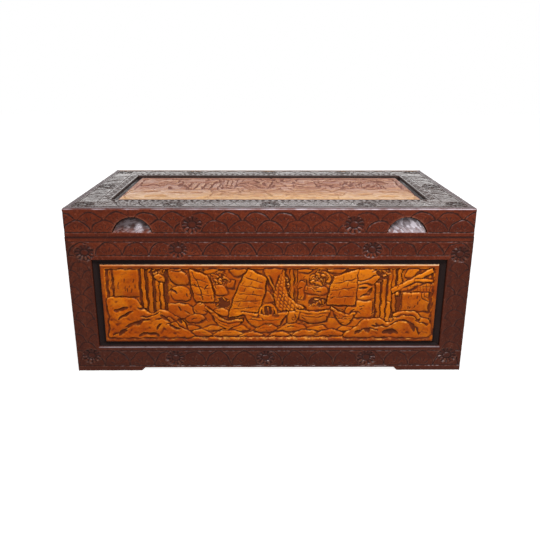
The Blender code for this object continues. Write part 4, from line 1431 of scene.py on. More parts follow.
    def rock(self, outline: Sequence[Point], hollows: Sequence[tuple[float, ...]]) -> None:
        """Builds a bank of rock with worn hollows in it.

        Args:
            outline: Its outline, drawn smooth.
            hollows: For each hollow, its middle, its half-sizes and its turn in degrees.
        """
        shape = smooth(outline, closed=True, steps=4)
        swell = lambda u, v: -1.3 + 0.8 * ripple(u, v, 13.0, 0.6) + 0.3 * ripple(u, v, 5.0, 1.9)
        self.relief.stamp(shape, swell, shoulder=4.5, trench=3.2, halo=5.0)
        for u, v, half_length, half_width, turn in hollows:
            self.lens((u, v), (half_length, half_width), turn)

    def ledges(self, paths: Sequence[Sequence[Point]]) -> None:
        """Cuts a rock down in steps along paths."""
        for path in paths:
            self.relief.step(smooth(path), 2.6, 9.0)

    def sail(self, corners: Sequence[Point], battens: int, seams: int, bulge: float = 3.0) -> None:
        """Hangs a battened sail.

        Args:
            corners: Top left, top right, bottom right and bottom left.
            battens: How many strips it has.
            seams: How many short seams cross a strip.
            bulge: How far its sides swell.
        """
        top_left, top_right, low_right, low_left = (np.array(corner, dtype=float) for corner in corners)

        def at(across: float, down: float) -> Grid:
            """Gives a place on the sail from its share of the way across and down."""
            left = top_left + (low_left - top_left) * down
            right = top_right + (low_right - top_right) * down
            side = (right - left) / np.hypot(*(right - left))
            swell = bulge * math.sin(math.pi * down) * (2 * across - 1)
            return left + (right - left) * across + side * swell

        rim = [at(0, down) for down in np.linspace(0, 1, 6)] + [at(1, down) for down in np.linspace(1, 0, 6)]
        axis = (low_left + low_right - top_left - top_right) / 2
        start = (top_left + top_right) / 2
        reach = float(axis @ axis)

        def pleated(u: Grid, v: Grid) -> Grid:
            """Gives the height at each place, falling over each strip."""
            down = ((u - start[0]) * axis[0] + (v - start[1]) * axis[1]) / reach
            return -0.2 - 0.7 * np.mod(down * battens, 1.0) ** 1.5 + 0.2 * ripple(u, v, 10.0)

        self.relief.stamp(rim, pleated, shoulder=2.5, drop=1.0, trench=3.4, halo=6.5, tone=0.01)
        for strip in range(battens):
            if strip:
                self.relief.incise([at(0.0, strip / battens), at(1.0, strip / battens)], 3.4, 1.1)
            for seam in range(seams):
                across = (seam + 0.5 + 0.25 * (-1) ** strip) / seams
                foot = (strip + 0.2 + 0.3 * ((seam + strip) % 2)) / battens
                self.relief.incise([at(across, foot), at(across, foot + 0.5 / battens)], 2.4, 0.7)

    def net(self, outline: Sequence[Point], pitch: float) -> None:
        """Hangs a curved sail that is cut all over with scales.

        Args:
            outline: Its outline, drawn smooth.
            pitch: Width of a scale.
        """
        shape = smooth(outline, closed=True, steps=5)
        low = shape.min(axis=0)

        def scaled(u: Grid, v: Grid) -> Grid:
            """Gives the height at each place, lower round each scale."""
            slid = u - low[0] + 0.35 * (v - low[1]) + 1.5 * ripple(u, v, 12.0)
            rows = (v - low[1]) / (pitch * 0.95)
            side = np.mod(slid / pitch + np.mod(np.floor(rows), 2) * 0.5, 1.0) - 0.5
            edge = np.abs(np.hypot(side, np.mod(rows, 1.0) * 0.5) - 0.42)
            return -0.8 - 1.7 * np.clip(1 - edge / 0.22, 0, 1)

        self.relief.stamp(shape, scaled, trench=3.4, halo=6.0, tone=0.01)

    def hull(self, stern: Point, bow: Point, depth: float, sag: float, rake: float) -> None:
        """Floats a hull between its stern and its bow.

        Args:
            stern: The top of one end.
            bow: The top of the other end.
            depth: Depth of its side.
            sag: How far its top edge dips.
            rake: How far its bottom is shorter at each end.
        """
        middle = ((stern[0] + bow[0]) / 2, min(stern[1], bow[1]) - sag)
        sheer = smooth([stern, middle, bow], steps=8)
        way = 1 if bow[0] > stern[0] else -1
        keel = smooth([
            (bow[0] - way * rake, bow[1] - depth * 0.9), (middle[0], middle[1] - depth),
            (stern[0] + way * rake, stern[1] - depth * 0.9),
        ], steps=8)
        self.block(np.vstack([sheer, keel]), -0.9, shoulder=6.0, trench=3.2, halo=6.5)
        rail = ribbon(sheer - [0, depth * 0.1], max(4.5, depth * 0.16))
        self.block(rail, -0.4, shoulder=2.2, drop=0.9, trench=1.4)
        planks = sheer if way > 0 else sheer[::-1]
        self.relief.step((planks - [0, depth * 0.4])[3:-3], 1.6, 5.0)

    def cabin(self, left: float, right: float, low: float, high: float) -> None:
        """Arches a mat roof over a deck, dark inside between its posts.

        Args:
            left: Where it starts along the deck.
            right: Where it ends.
            low: Height of the deck.
            high: Height of its top.
        """
        middle, half, rise = ((left + right) / 2, low), (right - left) / 2, high - low
        # The roof, the inside and the posts are painted in shade, the inside darkest.
        self.block(arc(middle, (half, rise), 0, 180), -2.0, shoulder=4.0, drop=1.4, trench=3.0, tone=0.12)
        inside = arc(middle, (half - 5, rise - 6), 0, 180)
        self.relief.stamp(inside, self.gap + 0.5, 0.8, 0.2, trench=0.8, halo=2.0, tone=0.4)
        for share in (-0.45, 0.05, 0.5):
            u = middle[0] + share * half
            post = ribbon([(u, low - 1), (u + 2 * share, low + 0.66 * rise)], 5.0)
            self.block(post, -2.8, shoulder=1.6, drop=0.8, trench=1.0, halo=1.6, tone=0.16)

    def waves(
        self, left: float, right: float, low: float, rows: int, pitch: float = 50.0, rise: float = 13.0
    ) -> None:
        """Lays long pointed swells along the water.

        Args:
            left: Where the water starts.
            right: Where it ends.
            low: Its lowest edge.
            rows: How many rows of swells there are.
            pitch: Distance from swell to swell.
            rise: Height of a row.
        """
        for row in reversed(range(rows)):
            for index in range(round((right - left) / pitch) + row % 2):
                u = left + (index + 0.5 - 0.5 * (row % 2)) * pitch + 4 * math.sin(2.1 * index + row)
                v = low + 2 + row * rise * 0.85 + 1.5 * math.sin(1.9 * index)
                half = pitch * (0.52 + 0.1 * math.sin(1.7 * index + row))
                crest = rise * (0.78 + 0.2 * math.cos(1.3 * index + 2 * row))
                share = np.linspace(-1, 1, 11)
                line, bow = np.column_stack([u + half * share, v + 2 * share]), crest * (1 - share**2)
                upper = line + np.column_stack([0 * bow, bow])
                lower = (line - 0.35 * np.column_stack([0 * bow, bow]))[::-1]
                swell = np.clip(np.vstack([upper, lower]), (left, low), (right, np.inf))
                self.block(swell, -1.5 - 0.3 * row, shoulder=7.0, drop=2.2, trench=2.2, halo=6.0)
                self.relief.step(upper[2:8] - [0, 0.45 * crest], 0.9, 4.0)

    def roof(self, eave: Point, ridge: Point, drop: float, courses: int) -> None:
        """Slopes a tiled roof under a straight beam.

        Args:
            eave: The beam's low end.
            ridge: Its high end.
            drop: Depth of the tiles under the ridge.
            courses: How many courses of tiles there are.
        """
        (u0, v0), (u1, v1) = eave, ridge
        self.block([eave, ridge, (u1, v1 - drop), (u0 + (u1 - u0) * 0.36, v0)], -2.4, trench=2.4)
        for course in range(1, courses):
            v = v0 + (v1 - drop - v0 + 14) * course / courses
            self.relief.incise([(u0 + (u1 - u0) * 0.3, v), (u1, v)], 2.2, 1.3)
        for index in range(8):
            u = u0 + (u1 - u0) * (0.4 + 0.08 * index)
            self.relief.incise([(u, v0 + 1), (u + 1, v1 - drop + 6)], 2.0, 1.1)
        beam = ribbon([eave, ((u0 + u1) / 2, (v0 + v1) / 2), ridge], 10.0, -0.1)
        self.block(beam, -0.4, shoulder=4, drop=1.4, trench=3.2)


def carve_front(relief: Relief) -> None:
    """Cuts the front panel's river scene: a wall and trees, junks under sail, and a pavilion on its rocks."""
    work = Carver(relief)
    work.field(-378, 378, 86, 258)
    sky = (
        [(-248, 240), (-240, 256), (-206, 257), (-203, 240), (-216, 234), (-232, 239)],
        [(-150, 244), (-148, 257), (-118, 257), (-126, 246)],
        [(-94, 256), (-54, 257), (-62, 242), (-82, 240)],
        [(-14, 257), (34, 257), (24, 236), (12, 206), (2, 206), (-6, 232)],
        [(-18, 176), (-15, 196), (-5, 204), (8, 188), (10, 176)],
        [(62, 257), (96, 257), (88, 248), (66, 249)],
        [(66, 180), (66, 222), (82, 230), (84, 204), (78, 182)],
        [(134, 256), (176, 258), (166, 247), (142, 247)],
        [(312, 236), (318, 257), (342, 257), (334, 240)],
        [(-100, 212), (-98, 231), (-82, 228), (-84, 211)],
        [(-132, 216), (-134, 198), (-116, 192), (-98, 197), (-104, 214), (-118, 219)],
        [(84, 216), (80, 200), (98, 196), (118, 192), (134, 199), (128, 214), (106, 212)],
        [(-130, 156), (-128, 146), (-100, 140), (-92, 150), (-108, 160)],
    )
    for outline in sky:
        work.patch(outline)
    for outline, level in (
        (rectangle(-373, -363, 188, 256), -2.9), (rectangle(-359, -302, 190, 257), -1.1),
        (rectangle(308, 371, 152, 199), -1.0),
        ([(-240, 136), (-240, 173), (-190, 173), (-178, 160), (-177, 142), (-196, 134)], -1.2),
        ([(172, 146), (188, 170), (200, 179), (240, 178), (240, 138), (196, 136)], -1.5),
    ):
        work.block(outline, level)
    work.dashes((-355, 198), (-310, 246), 10, 8, 3)
    work.dashes((-371, 195), (-366, 250), 5, 6, 4)
    work.dashes((314, 158), (350, 190), 8, 7, 5)
    for radius in (21, 14):
        work.relief.incise(arc((372, 199), (radius, radius), 180, 270), 2.8, 1.8)
    work.grove(
        [(-302, 148), (-302, 257), (-233, 257), (-238, 148)],
        [(-291, 6.5, 160, 260), (-277, 7, 146, 260), (-261, 7, 140, 240), (-249, 6, 140, 226)],
    )
    work.leaves((-258, 249), (20, 9), 9, 11)
    work.patch([(-268, 240), (-247, 243), (-243, 226), (-256, 229)], -0.8, shoulder=4)
    work.patch([(-229, 252), (-196, 248), (-186, 222), (-212, 220), (-231, 234)], -1.0)
    work.patch([(-228, 210), (-204, 216), (-187, 208), (-184, 184), (-206, 180), (-226, 186)], -1.4)
    work.curl((-230, 212), 7)
    work.lens((-224, 204), (11, 3.4), -18)
    work.sail([(-184, 257), (-143, 240), (-129, 176), (-172, 178)], 4, 1)
    work.relief.incise(smooth([(-178, 250), (-164, 216), (-156, 182)]), 3.4, 1.8)
    work.patch([(-172, 172), (-150, 170), (-146, 152), (-164, 142), (-178, 152)], -2.0)
    work.patch([(-196, 140), (-168, 146), (-150, 134), (-172, 124), (-194, 126)], -1.6)
    work.pine((-115, 233), (19, 15), 60, 205, 13)
    work.leaves((-111, 173), (18, 14), 5, 61)
    work.hull((-149, 166), (-64, 134), 34, 2, 16)
    work.sail([(-50, 258), (-8, 236), (-28, 151), (-98, 138)], 6, 3, 4.0)
    work.block(ribbon([(-4, 240), (16, 190), (22, 150)], 4.0), -1.0, shoulder=2, drop=0.8)
    work.leaves((38, 218), (9, 27), 12, 21)
    for path, width in (([(52, 160), (50, 258)], 7.0), ([(61, 172), (60, 258)], 4.0)):
        work.trunk(path, width)
    work.net([(32, 254), (15, 220), (11, 178), (26, 149), (60, 153), (82, 161), (52, 180), (38, 208)], 9.0)
    work.pine((112, 232), (23, 17), -30, 110, 9)
    for radius in (8, 13, 18):
        work.relief.incise(arc((110, 226), (radius, 0.8 * radius), -20, 150), 2.6, 2.2)
    work.leaves((112, 176), (23, 11), 8, 31)
    work.hull((60, 158), (142, 156), 30, 4, 10)
    work.hull((-66, 152), (44, 152), 38, 6, 22)
    work.cabin(-27, 18, 144, 173)
    work.block([(44, 152), (70, 152), (66, 132), (52, 108), (40, 114)], -0.9, shoulder=5, trench=3.2)
    work.curl((56, 136), 8, 1.1)
    work.sail([(150, 238), (205, 257), (197, 168), (133, 171)], 4, 2, 3.0)
    work.hull((144, 164), (200, 150), 30, 3, 12)
    work.relief.incise(smooth([(150, 150), (166, 158), (178, 140), (160, 134)]), 3.0, 2.0)
    cloud = [(204, 216), (204, 254), (236, 257), (252, 244), (268, 228), (258, 214), (228, 222)]
    work.patch(cloud, -1.0, shoulder=5)
    work.relief.incise(smooth([(203, 228), (226, 232), (250, 246)]), 4.0, 2.6)
    work.patch([(204, 182), (203, 216), (226, 219), (244, 208), (244, 184)], -2.2)
    work.lens((216, 209), (11, 3), 6)
    work.lens((232, 202), (5, 9), -30)
    work.lens((222, 192), (12, 3.4), 12)
    work.grove(
        [(243, 134), (243, 222), (266, 257), (306, 257), (306, 134)],
        [(253, 7.5, 128, 222), (265, 6.5, 126, 232), (278, 7.5, 126, 258), (289, 6, 150, 258),
         (299, 6, 190, 258)],
    )
    work.leaves((262, 247), (18, 9), 10, 41)
    work.roof((282, 202), (375, 254), 24, 4)
    work.block(ribbon([(334, 230), (376, 228)], 7.0), -0.8, shoulder=3)
    work.waves(-196, 214, 88, 2, 62.0, 18.0)
    work.rock(
        [(-377, 186), (-318, 186), (-300, 166), (-278, 147), (-255, 157), (-226, 147), (-206, 130),
         (-194, 106), (-182, 87), (-280, 86), (-377, 86), (-378, 110), (-378, 150)],
        [(-346, 156, 17, 5.0, 16), (-338, 144, 20, 3.6, 28), (-298, 158, 12, 3.4, -6), (-316, 120, 26, 5, 20),
         (-348, 100, 12, 5, 36), (-286, 94, 24, 5, 0), (-246, 134, 14, 4.4, -38), (-226, 112, 15, 3.4, -24),
         (-212, 128, 8, 4, -60), (-262, 116, 10, 3, 50)],
    )
    work.ledges([
        [(-262, 148), (-284, 138), (-300, 138)], [(-206, 132), (-222, 126), (-236, 138), (-262, 131)],
        [(-196, 106), (-212, 112), (-220, 124), (-240, 120)],
        [(-286, 130), (-318, 121), (-342, 106), (-366, 92)],
    ])
    for low, high, count, seed in (
        ((-212, 122), (-92, 180), 22, 1), ((-208, 180), (-120, 254), 16, 2), ((62, 160), (150, 250), 26, 3),
        ((130, 126), (252, 168), 20, 4), ((-305, 150), (-235, 255), 14, 5), ((240, 140), (306, 255), 16, 6),
        ((-90, 90), (180, 140), 22, 7),
    ):
        work.gouges(low, high, count, (9.0, 2.2), 2.4, seed)
    work.rock(
        [(176, 87), (205, 114), (222, 131), (260, 134), (274, 124), (292, 128), (294, 148), (337, 152),
         (354, 138), (377, 128), (377, 86), (276, 86)],
        [(208, 101, 9, 4, 20), (232, 103, 8, 5.5, 10), (254, 114, 15, 3, 4), (286, 99, 18, 8, 0),
         (338, 112, 12, 4.6, -58), (318, 128, 14, 3.4, -18), (352, 128, 7, 4, 30), (300, 138, 10, 3, 14)],
    )
    work.ledges([
        [(300, 124), (276, 112), (252, 118)], [(368, 118), (350, 126), (336, 140), (304, 140)],
        [(352, 96), (344, 112), (330, 122)], [(252, 104), (232, 108), (214, 98)],
    ])


def carve_lid(relief: Relief) -> None:
    """Cuts the lid panel's scene: buildings and walls at the left, junks on the water and hills."""
    work = Carver(relief)
    work.field(-348, 348, -121, 121)
    for outline in (
        [(-340, 58), (-336, 116), (-262, 116), (-252, 96), (-290, 62)],
        [(-230, 84), (-226, 116), (-144, 116), (-150, 86)],
        [(-70, 90), (-66, 116), (-44, 116), (-50, 92)], [(14, 40), (12, 114), (72, 116), (66, 44)],
        [(34, -22), (50, 4), (150, 0), (190, -22), (120, -34)],
        [(-140, -12), (-90, 2), (0, -8), (40, -26), (-60, -36)],
        [(232, 100), (262, 114), (286, 104), (262, 92)], [(300, 64), (302, 112), (340, 114), (342, 62)],
        [(196, 20), (206, 66), (232, 70), (232, 14)], [(250, 8), (252, 62), (282, 64), (284, 6)],
    ):
        work.patch(outline, -1.3, shoulder=9, trench=4.0, halo=9.0)
    work.roof((-340, 40), (-250, 104), 26, 4)
    for index in range(5):
        u = -230 + index * 20
        work.block([(u, -4), (u + 13, -4), (u + 19, 70), (u + 6, 72)], -0.5, trench=3.6, halo=4.5)
        work.relief.incise([(u + 6, 0), (u + 12, 66)], 2.6, 1.5)
    work.grove(rectangle(-126, -90, 8, 116), [(-119, 9, 6, 116), (-107, 8, 6, 116), (-96, 8, 6, 110)])
    work.pine((-66, 78), (15, 12), 0, 220, 6)
    work.sail([(-38, 107), (7, 94), (-7, 20), (-63, 24)], 6, 3, 4.0)
    work.hull((-87, 10), (28, 8), 34, 6, 20)
    work.cabin(-30, 10, 2, 28)
    work.sail([(77, 90), (118, 110), (122, 25), (66, 20)], 5, 2, 3.0)
    work.hull((146, 10), (49, 7), 34, 4, 16)
    hill = [(140, 110), (181, 112), (212, 92), (202, 60), (160, 54), (140, 72)]
    work.patch(hill, -0.9, shoulder=6, trench=3.4, halo=6)
    work.lens((172, 86), (18, 6), 14)
    work.trunk([(238, 6), (234, 40), (240, 72)], 10)
    work.trunk([(287, 6), (291, 40), (285, 72)], 9)
    work.pine((238, 90), (18, 13), -10, 190, 7)
    work.pine((287, 92), (17, 12), -10, 190, 7)
    work.block(rectangle(303, 340, 0, 58), -0.8)
    work.dashes((308, 6), (334, 44), 8, 8, 9)
    work.waves(-344, 344, -118, 5, 56.0, 24.0)
    work.gouges((-335, -10), (335, 116), 130, (26.0, 9.0), 5.6, 8)
    work.gouges((-335, -112), (335, -20), 50, (28.0, 7.0), 3.6, 9)
    work.rock(
        [(-342, -10), (-250, -8), (-190, -16), (-150, -30), (-146, -60), (-160, -96), (-220, -112),
         (-342, -112)],
        [(-300, -34, 24, 7, 8), (-230, -50, 22, 7, -10), (-276, -84, 28, 9, 6), (-184, -48, 16, 6, 20)],
    )
    work.rock(
        [(176, -112), (184, -70), (226, -32), (268, -12), (342, -10), (342, -112)],
        [(240, -70, 20, 7, 20), (300, -40, 24, 7, -8), (290, -90, 26, 9, 0)],
    )


def carve_end(relief: Relief) -> None:
    """Cuts an end panel's scene: one junk on the water between rocks, under pines."""
    work = Carver(relief)
    work.field(-150, 150, 86, 258)
    for outline in (
        [(-90, 216), (-86, 256), (-36, 257), (-34, 226), (-60, 208)],
        [(38, 204), (44, 256), (66, 257), (68, 206)],
        [(-92, 158), (-90, 200), (-62, 204), (-58, 160)], [(34, 160), (42, 196), (70, 200), (70, 160)],
        [(78, 152), (78, 200), (144, 204), (146, 148), (110, 140)],
    ):
        work.patch(outline)
    trunks = [(-134, 11, 148, 258), (-119, 10, 146, 258), (-103, 11, 144, 258)]
    work.grove(rectangle(-144, -94, 150, 257), trunks)
    work.leaves((-112, 246), (24, 9), 12, 51)
    work.pine((-68, 232), (19, 14), -20, 200, 7)
    work.sail([(-27, 254), (33, 238), (15, 168), (-60, 162)], 6, 3, 4.0)
    work.hull((-92, 154), (68, 154), 42, 8, 26)
    work.cabin(14, 54, 142, 172)
    work.trunk([(86, 144), (84, 200), (88, 244)], 7)
    work.patch([(74, 218), (72, 248), (120, 256), (143, 240), (140, 214)], -0.9, shoulder=5)
    work.lens((110, 234), (17, 5), 12)
    work.pine((114, 180), (20, 14), -30, 190, 7)
    work.waves(-146, 146, 88, 3)
    work.rock(
        [(-146, 150), (-114, 148), (-90, 128), (-82, 90), (-146, 89)],
        [(-120, 124, 15, 5, 14), (-112, 100, 16, 6, 0)],
    )
    work.rock(
        [(76, 90), (92, 120), (118, 134), (146, 138), (146, 89)],
        [(114, 112, 16, 4.4, -10), (124, 98, 14, 5, 0)],
    )


# The chest's own layout


LEFT, RIGHT = Vector((-1, 0, 0)), Vector((1, 0, 0))
FRONTWARD, BACKWARD, UPWARD = Vector((0, -1, 0)), Vector((0, 1, 0)), Vector((0, 0, 1))
FRONT_FACE = Face(Vector((0, CAD_BOX[0].y, 0)), RIGHT, UPWARD, FRONTWARD)
LEFT_FACE = Face(Vector((CAD_BOX[0].x, 0, 0)), FRONTWARD, UPWARD, LEFT)
RIGHT_FACE = Face(Vector((CAD_BOX[1].x, 0, 0)), BACKWARD, UPWARD, RIGHT)
LID_FACE = Face(Vector((0, 0, CAD_BOX[1].z)), RIGHT, BACKWARD, UPWARD)
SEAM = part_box("lid_front_apron")[0].z * MM
HALF_LENGTH = CAD_BOX[1].x * MM
HALF_DEPTH = CAD_BOX[1].y * MM
CORNER_RADIUS = 4.0


@dataclass
class Hinges:
    """The two butt hinges: leaves with countersunk screws, and the slopes that stop the lid.

    Attributes:
        screw_spread: Distance from the middle screw to each outer one, in metres.
        screw_inset: Distance of the screws from the pin.
        head_radius: Radius of a screw's head.
        head_depth: Depth of a screw's head.
        leaf_gap: Distance of a leaf's face from the plane through the pin.
        seat: How far a screw's head is sunk in the leaf.
        stop_play: Degrees that the slopes open past the lid's range.
    """

    screw_spread: float = 0.026
    screw_inset: float = 0.0098
    head_radius: float = 0.0027
    head_depth: float = 0.0014
    leaf_gap: float = 0.00015
    seat: float = 0.0001
    stop_play: float = 1.0

    def groove(self, side: int) -> tuple[Vector, Vector]:
        """Gives the plane of one slope of the V groove at the back.

        Args:
            side: 1 for the lid's and -1 for the carcase's.

        Returns:
            A point of the plane, and the way out of the wood.
        """
        joint = frame["joints"][0]
        half = math.radians(joint["range_deg"][1] + self.stop_play) / 2
        seam = SEAM / MM if side > 0 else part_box("back_board")[1].z
        return Vector((0, joint["pos_m"][1], seam)), Vector((0, math.sin(half), -side * math.cos(half)))

    def countersink(self, leaf: Object, place: Vector, side: int) -> None:
        """Cuts a cone into a leaf's plate.

        Args:
            leaf: The plate.
            place: The middle of the screw's head.
            side: 1 on the lid and -1 on the carcase.
        """
        bpy.ops.object.select_all(action="DESELECT")
        bpy.ops.mesh.primitive_cone_add(
            vertices=24, radius1=self.head_radius * 1.12, radius2=self.head_radius * 0.3, depth=0.0036,
            location=place - Vector((0, 0, side * 0.0006)),
            rotation=(0 if side > 0 else math.pi, 0, 0),
        )
        cone = bpy.context.object
        bpy.ops.object.transform_apply()
        cut_away(leaf, cone)

    def screw(self, name: str, place: Vector, side: int, turn: float) -> Object:
        """Models one slotted countersunk screw, head outwards.

        Args:
            name: The screw's name.
            place: The middle of its head's face.
            side: 1 where the head looks down, on the lid, and -1 where it looks up.
            turn: How far its slot is turned.

        Returns:
            The screw.
        """
        bpy.ops.object.select_all(action="DESELECT")
        bpy.ops.mesh.primitive_cylinder_add(
            vertices=24, radius=self.head_radius, depth=self.head_depth, location=(0, 0, -self.head_depth / 2)
        )
        screw = bpy.context.object
        screw.name = screw.data.name = name
        bpy.ops.object.transform_apply()
        with editing(screw):
            bpy.ops.mesh.select_mode(type="VERT")
            bpy.ops.mesh.select_all(action="DESELECT")
        for vertex in screw.data.vertices:
            vertex.select = vertex.co.z < 0
        bpy.ops.object.mode_set(mode="EDIT")
        bpy.ops.transform.resize(value=(0.45, 0.45, 1))
        bpy.ops.object.mode_set(mode="OBJECT")
        bpy.ops.mesh.primitive_cube_add(size=1, location=(0, 0, 0))
        slot = bpy.context.object
        slot.scale = (self.head_radius * 3, 0.0008, 0.0012)
        bpy.ops.object.transform_apply(scale=True)
        cut_away(screw, slot)
        flip = Matrix.Rotation(math.pi if side > 0 else 0, 4, "X")
        screw.data.transform(Matrix.Translation(place) @ flip @ Matrix.Rotation(turn, 4, "Z"))
        bpy.ops.object.shade_smooth_by_angle(angle=math.radians(30))
        return screw

    def make_leaf(self, prefix: str, part: str, brass: Material) -> None:
        """Drills one leaf's plate and sets its screws.

        Args:
            prefix: Which hinge it belongs to.
            part: The part that it is let into: lid or carcase.
            brass: The finish.
        """
        side, body = (1, Body.LID) if part == "lid" else (-1, Body.CARCASE)
        node = f"{prefix}_{part}_leaf"
        low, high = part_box(node)
        leaf = frame["nodes"][node].copy()
        leaf.data = leaf.data.copy()
        leaf.parent = None
        leaf.name = f"{prefix}_{part}_plate"
        bpy.context.scene.collection.objects.link(leaf)
        for key in list(leaf.keys()):
            del leaf[key]
        with editing(leaf):
            bpy.ops.mesh.remove_doubles(threshold=1e-6)
        _, pin_y, pin_z = frame["joints"][0]["pos_m"]
        middle = Vector(((low.x + high.x) / 2, pin_y - self.screw_inset, pin_z + side * self.leaf_gap))
        places = [middle + Vector((step * self.screw_spread, 0, 0)) for step in (-1, 0, 1)]
        for place in places:
            self.countersink(leaf, place, side)
        bpy.ops.object.shade_smooth_by_angle(angle=math.radians(35))
        dress(leaf, body, Slot.BRASS, brass, node)
        for index, place in enumerate(places):
            head = place + Vector((0, 0, side * self.seat))
            screw = self.screw(f"{prefix}_{part}_screw_{index + 1}", head, side, 0.7 * index + 0.4)
            dress(screw, body, Slot.BRASS, brass)

    def build(self) -> None:
        """Dresses both hinges."""
        brass = BrassFinish().material()
        for prefix in ("left_hinge", "right_hinge"):
            keep_solid(f"{prefix}_pin", brass)
            for part in ("carcase", "lid"):
                self.make_leaf(prefix, part, brass)


def draw_line(relief: Relief, start: float, end: float, level: float) -> None:
    """Incises one level border line."""
    relief.incise([(start, level), (end, level)], 3.4, 1.2)


@dataclass
class FramedWall:
    """A wall's mitred frame, its cove mouldings and its carved panel.

    Attributes:
        prefix: How its nodes' names start.
        face: The face that it lies in.
        ends: The names of its left and right sides.
        corners: Whether its left and its right side is a mitred corner of the chest.
        picture: Carves its panel.
        drawn: Half-width of the field that the picture is drawn for.
        rosettes: Places of the rosettes on its frame.
        hinges: Gives the slope at the back.
        foot: Length of a foot.
        border: Distance of the rails' incised lines from their edges.
        edge: Width of the stiles' plain edges.
        arch_rise: Height of the arch between the feet.
        ramp: How far the arch's ends slope.
        thickness: Thickness of the frame.
    """

    prefix: str
    face: Face
    ends: tuple[str, str]
    corners: tuple[bool, bool]
    picture: Callable[[Relief], None]
    drawn: float
    rosettes: Sequence[Point]
    hinges: Hinges
    foot: float
    border: float = 11.0
    edge: float = 4.0
    arch_rise: float = 9.5
    ramp: float = 8.0
    thickness: float = 10.0

    def __post_init__(self) -> None:
        """Reads the frame's rectangles from the CAD."""
        _, _, low, _ = self.face.rect(f"{self.prefix}_bottom_rail")
        high = self.face.rect(f"{self.prefix}_top_rail")[3]
        half = HALF_LENGTH if self.face is FRONT_FACE else HALF_DEPTH
        self.outer = (-half, half, low, high)
        self.opening = opening_round(
            self.face, f"{self.prefix}_bottom_moulding", f"{self.prefix}_top_moulding"
        )
        self.grains = (Grain.X if self.face is FRONT_FACE else Grain.Y, Grain.Z)

    def carve_frame(self, relief: Relief) -> None:
        """Works the frame's borders: a row of arches along the rails, scales up the stiles, and rosettes."""
        left, right, low, high = self.outer
        in_left, in_right, in_low, in_high = self.opening
        levels = (low + self.border + 3, in_low - self.border, in_high + self.border, high - self.border)
        near, far = left + self.edge, right - self.edge
        for start, end in ((near, in_left - self.edge), (in_right + self.edge, far)):
            self.carve_stile(relief, start, end, levels[1], levels[2])
        for foot, top in (levels[2:], levels[:2]):
            self.carve_rail(relief, near, far, foot, top)
        u, v = relief.u, relief.v
        beside = (u > in_left - self.edge) & (u < in_right + self.edge) & (v > levels[1]) & (v < levels[2])
        plain = (v > levels[3]) | (v < levels[0]) | (u < near) | (u > far) | beside
        relief.put(plain, form=0, cuts=0)
        for level in levels:
            draw_line(relief, near, far, level)
        # Painted shade along the top edge, under the lid's seam.
        relief.put(high - v < 2.6, dirt=0.5)
        # A painted highlight along the opening's lower arris.
        relief.paint_highlight([(in_left, in_low - 1.2), (in_right, in_low - 1.2)], 2.6, 0.45)
        for place in self.rosettes:
            Rosette().carve(relief, place)
        relief.roughen()

    def carve_stile(self, relief: Relief, start: float, end: float, low: float, high: float) -> None:
        """Works rows of scales up one stile, each over the seams of the one under it.

        Args:
            relief: The relief that it is cut in.
            start: Where the stile's border starts.
            end: Where it ends.
            low: Its lowest edge.
            high: Its highest edge.
        """
        half, middle, step = (end - start) / 2, (start + end) / 2, 20.0
        scale = Scale(half, 31.0, 2.0, 7, depth=0.8)
        for row in reversed(range(int((high - low) / step) + 2)):
            for u in (middle - half, middle + half) if row % 2 else (middle,):
                scale.carve(relief, (u, low - 8 + row * step))

    def carve_rail(self, relief: Relief, near: float, far: float, foot: float, top: float) -> None:
        """Works one row of arches along a rail.

        Args:
            relief: The relief that it is cut in.
            near: Where the row starts.
            far: Where it ends.
            foot: The row's foot.
            top: The line over it.
        """
        relief.put((relief.v > foot) & (relief.v < top), form=0, cuts=0)
        count = round((far - near) / 60)
        pitch = (far - near) / count
        scale = Scale(pitch / 2, top - foot - 1)
        for index in range(count):
            scale.carve(relief, (near + (index + 0.5) * pitch, foot + 0.5))

    def make_frame(self) -> None:
        """Builds the four mitred members."""
        left, right, low, high = self.outer
        in_left, in_right, in_low, in_high = self.opening
        widths = (in_low - low, right - in_right, high - in_high, in_left - left)
        names = ("bottom_rail", f"{self.ends[1]}_stile", "top_rail", f"{self.ends[0]}_stile")
        at_corner = (self.corners[0], self.corners[1], self.corners[1], self.corners[0])
        for turn, (corner, length) in enumerate(ring_sides(self.outer)):
            width, following = widths[turn], (turn + 1) % 4
            start, end = EndCut(widths[turn - 1] / width), EndCut(widths[following] / width)
            edge = 3.0 if turn == 0 else 1.5
            if turn % 2 == 0:
                start = replace(start, plan=at_corner[turn], radius=CORNER_RADIUS)
                end = replace(end, plan=at_corner[following], radius=CORNER_RADIUS)
                section = flat_section(width, self.thickness, 1.1, edge)
            else:
                edge = CORNER_RADIUS if at_corner[turn] else edge
                section = flat_section(width, self.thickness, 1.1, edge, corner=at_corner[turn])
            node = f"{self.prefix}_{names[turn]}"
            board = SweptBoard(f"{node}_carved", self.face, corner, turn, length, section, start, end)
            piece = board.build(self.carve_frame)
            if turn == 0:
                self.cut_feet(piece)
            if self.face is not FRONT_FACE:
                bevel_off(piece, *self.hinges.groove(-1))
            # The top rail takes the lit finish, and the other members the copy painted in shade.
            finish = HARDWOOD if turn == 2 else SHADED_HARDWOOD
            dress(piece, Body.CARCASE, Slot.HARDWOOD, finish.material(self.grains[turn % 2]), node)

